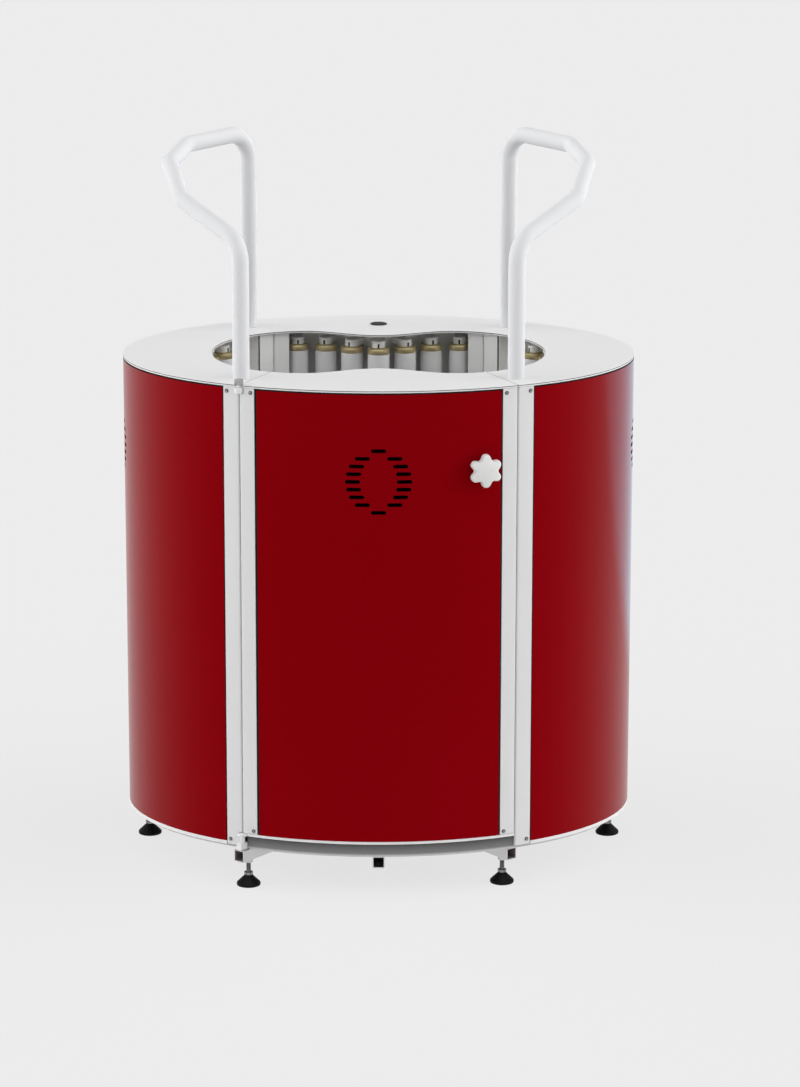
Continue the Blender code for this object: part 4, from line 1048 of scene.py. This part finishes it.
for name, side in (("left_handle", -1), ("right_handle", 1)):
    corners = [Vector((side * (RAIL_LEG.x + out), y, PLATE_TOP + rise))
               for (out, y), rise in zip(RAIL_PLAN, RAIL_RISES)]
    ends = [Vector((side * RAIL_LEG.x, y, PLATE_TOP - RAIL_DEPTH)) for y in (-RAIL_LEG.y, RAIL_LEG.y)]
    shape = pipe(bent_path([ends[0]] + corners + [ends[1]], RAIL_BEND), RAIL_RADIUS, RAIL_SIDES)
    fit(name + "_tube", shape, [RAIL_WHITE], "cabinet", "white_paint", name)


# Latch: a domed star knob of white moulded plastic outside the door. Its spindle passes through the panel and
# turns a cam of plated steel behind it.
def knob_recipe(start):
    flow = grain(start, 120.0, detail=2.0)
    return {"Base Color": tint(start, flow, (0.68, 0.68, 0.675), (0.72, 0.72, 0.715)),
            "Roughness": 0.24 + 0.10 * flow, "Specular IOR Level": 0.4,
            "Normal": relief(start, flow, 0.00001)}


KNOB_WHITE = finish("knob_white", knob_recipe)
KNOB_OFFSET = 0.169
KNOB_DROP = 0.1345
KNOB_OUTER = 0.0275
KNOB_VALLEY = 0.0196
KNOB_LOBES = 6
LOBE_FULLNESS = 1.1
LOBE_TURN = 0.2
KNOB_SEAT = 0.0003
KNOB_STEM_RADIUS = 0.013
KNOB_STEM = 0.0093
KNOB_DEPTH = 0.017
KNOB_RISE = 0.0050
KNOB_BACK_ROUND = 0.0022
KNOB_FRONT_ROUND = 0.0035
ROUND_STEPS = 6
DOME_RINGS = 9
KNOB_SIDES = 144
CAM_EDGE = 0.0005


def star(shrink):
    """The outline of the knob, with round lobes and wide round valleys."""
    points = []
    for x, y in circle(1.0, KNOB_SIDES):
        wave = 0.5 + 0.5 * math.cos(KNOB_LOBES * (math.atan2(y, x) - math.pi / 2))
        lobe = wave + LOBE_FULLNESS * wave * (1.0 - wave) * (wave - LOBE_TURN)
        radius = KNOB_VALLEY + (KNOB_OUTER - KNOB_VALLEY) * lobe - shrink
        points.append((radius * x, radius * y))
    return points


def crown(x, y):
    """How far the domed face rises over the tips of the lobes."""
    return KNOB_RISE * (1 - (x * x + y * y) / KNOB_OUTER ** 2)


def star_knob():
    """The knob from its stem out: a rounded back edge, a rounded front edge and a domed face."""
    stem = circle(KNOB_STEM_RADIUS, KNOB_SIDES)
    rings = [(stem, KNOB_SEAT), (stem, KNOB_STEM)]
    face = KNOB_STEM + KNOB_DEPTH - KNOB_RISE
    swings = [math.pi / 2 * step / ROUND_STEPS for step in range(ROUND_STEPS + 1)]
    for swing in swings:
        rings.append((star(KNOB_BACK_ROUND * (1 - math.sin(swing))),
                      KNOB_STEM + KNOB_BACK_ROUND * (1 - math.cos(swing))))
    for swing in swings:
        rings.append((star(KNOB_FRONT_ROUND * (1 - math.cos(swing))),
                      face - KNOB_FRONT_ROUND * (1 - math.sin(swing))))
    for step in range(1, DOME_RINGS):
        share = 1 - step / DOME_RINGS
        rings.append(([(share * x, share * y) for x, y in star(KNOB_FRONT_ROUND)], face))
    domed = face - KNOB_FRONT_ROUND
    return skin([[(x, y, z + (crown(x, y) if z >= domed else 0.0)) for x, y in ring] for ring, z in rings])


shape = moved(star_knob(), facing(math.asin(KNOB_OFFSET / RIM_X), PLATE_TOP - KNOB_DROP))
fit("star_knob_moulding", shape, [KNOB_WHITE], "latch", "white_plastic", "star_knob")
dress("latch_cam", "latch_cam_plate", ZINC_AND_HIGHLIGHT, "bare_steel", CAM_EDGE)


# Start button: a black moulded push button in a round bezel of the same plastic. The bezel is let into the
# top plate, behind the well.
BEZEL_EDGE = 0.0003
BUTTON_EDGE = 0.0004
dress("button_bezel", "start_button_bezel", BLACK_MOULDING, "black_plastic", BEZEL_EDGE)
dress("start_button", "start_button_cap", BLACK_MOULDING, "black_plastic", BUTTON_EDGE)


# Cable gland: a black moulded gland for the mains inlet. It is screwed into the back panel, close to the
# panel's lower edge.
GLAND_EDGE = 0.0004
dress("cable_gland", "cable_gland_body", BLACK_MOULDING, "black_plastic", GLAND_EDGE)


# Stage: a pale floor that runs far back, soft light from all round, more of it from the two sides, and one
# wide soft light from the front. A cool white card lies on the floor, behind and to the right, and only gloss
# shows it.
STAGE_GREY = (0.838, 0.838, 0.838, 1)
SHADOW_SHARE = 0.14
SKY_FRONT = 0.08
SKY_SIDE = 4.80
SKY_FOCUS = 4
KEY_STRENGTH = 1.15
KEY_SPREAD = math.radians(70)
KEY_TILT = math.radians(20)
KEY_SWING = math.radians(4)
CARD_TINT = (0.55, 0.86, 1.0, 1)
CARD_STRENGTH = 1.75
CARD_RIGHT = 0.5
CARD_BEHIND = 1.0
CARD_FADE = 0.4
FLOOR_REACH = 60.0
FLOOR_LOW = -0.05
FLOOR_TOP = -0.0002


def shown_to_eye(start):
    """One for what the camera sees straight, in gloss or through glass."""
    straight, glossy, through = (start.node("LightPath", {}, {}, f"Is {name} Ray")
                                 for name in ("Camera", "Glossy", "Transmission"))
    return start.math('MAXIMUM', start.math('MAXIMUM', straight, glossy), through)


floor_paint = bpy.data.materials.new("studio_floor")
floor_paint.use_nodes = True
start = Signal(floor_paint.node_tree)
floor_paint.node_tree.nodes.remove(floor_paint.node_tree.nodes["Principled BSDF"])
matt = start.node("BsdfDiffuse", {}, {"Color": STAGE_GREY})
floor_spot = start.node("TexCoord", {}, {}, "Object")
to_right, to_back = (
    start.node("MapRange", {}, {"Value": start.node("SeparateXYZ", {}, {0: floor_spot}, axis),
                                "From Min": edge, "From Max": edge + CARD_FADE})
    for axis, edge in (("X", CARD_RIGHT), ("Y", CARD_BEHIND)))
plain = start.node("Emission", {}, {"Color": STAGE_GREY})
card = start.node("Emission", {}, {"Color": CARD_TINT, "Strength": CARD_STRENGTH})
in_gloss = start.node("LightPath", {}, {}, "Is Glossy Ray")
glow = start.node("MixShader", {}, {0: to_right * to_back * in_gloss, 1: plain, 2: card})
start.feed(floor_paint.node_tree.nodes["Material Output"], {"Surface": start.node(
    "MixShader", {}, {0: shown_to_eye(start) * (1 - SHADOW_SHARE), 1: matt, 2: glow})})
corners = [(FLOOR_REACH * x, FLOOR_REACH * y) for x, y in ((-1, -1), (1, -1), (1, 1), (-1, 1))]
add("studio_floor", meshed("studio_floor", slab(corners, FLOOR_LOW, FLOOR_TOP), [floor_paint]))
world = bpy.data.worlds.new("studio")
world.use_nodes = True
bpy.context.scene.world = world
start = Signal(world.node_tree)
sideways = start.node("SeparateXYZ", {}, {0: start.node("TexCoord", {}, {}, "Generated")}, "X")
front = start.node("Background", {}, {"Color": WHITE, "Strength": SKY_FRONT})
side = start.node("Background", {}, {"Color": WHITE, "Strength": SKY_SIDE})
sky = start.node("MixShader", {}, {0: sideways ** SKY_FOCUS, 1: front, 2: side})
backdrop = start.node("Background", {}, {"Color": STAGE_GREY, "Strength": 1.0})
start.feed(world.node_tree.nodes["World Output"], {"Surface": start.node(
    "MixShader", {}, {0: shown_to_eye(start), 1: sky, 2: backdrop})})
key = bpy.data.lights.new("key", 'SUN')
key.energy = KEY_STRENGTH
key.angle = KEY_SPREAD
add("key", key).rotation_euler = (KEY_TILT, KEY_SWING, 0)


# Camera: a long lens in front of the door and above the rails, tilted down. Its shift sets the part a little
# off the middle of the frame.
CAMERA_PLACE = (0, -6.8706, 2.2306)
CAMERA_TILT = math.radians(14.2826)
PHOTO_HEIGHT = 1087
FOCAL_PIXELS = 4155.2
AXIS_RIGHT = -21.4
AXIS_DOWN = 23.05
SENSOR = 36.0
lens = bpy.data.cameras.new("camera")
lens.sensor_fit = 'VERTICAL'
lens.sensor_height = SENSOR
lens.lens = FOCAL_PIXELS / PHOTO_HEIGHT * SENSOR
lens.shift_x = -AXIS_RIGHT / PHOTO_HEIGHT
lens.shift_y = AXIS_DOWN / PHOTO_HEIGHT
camera = add("camera", lens)
camera.location = CAMERA_PLACE
camera.rotation_euler = (math.pi / 2 - CAMERA_TILT, 0, 0)
bpy.context.scene.camera = camera
bpy.context.scene.view_settings.view_transform = 'Standard'
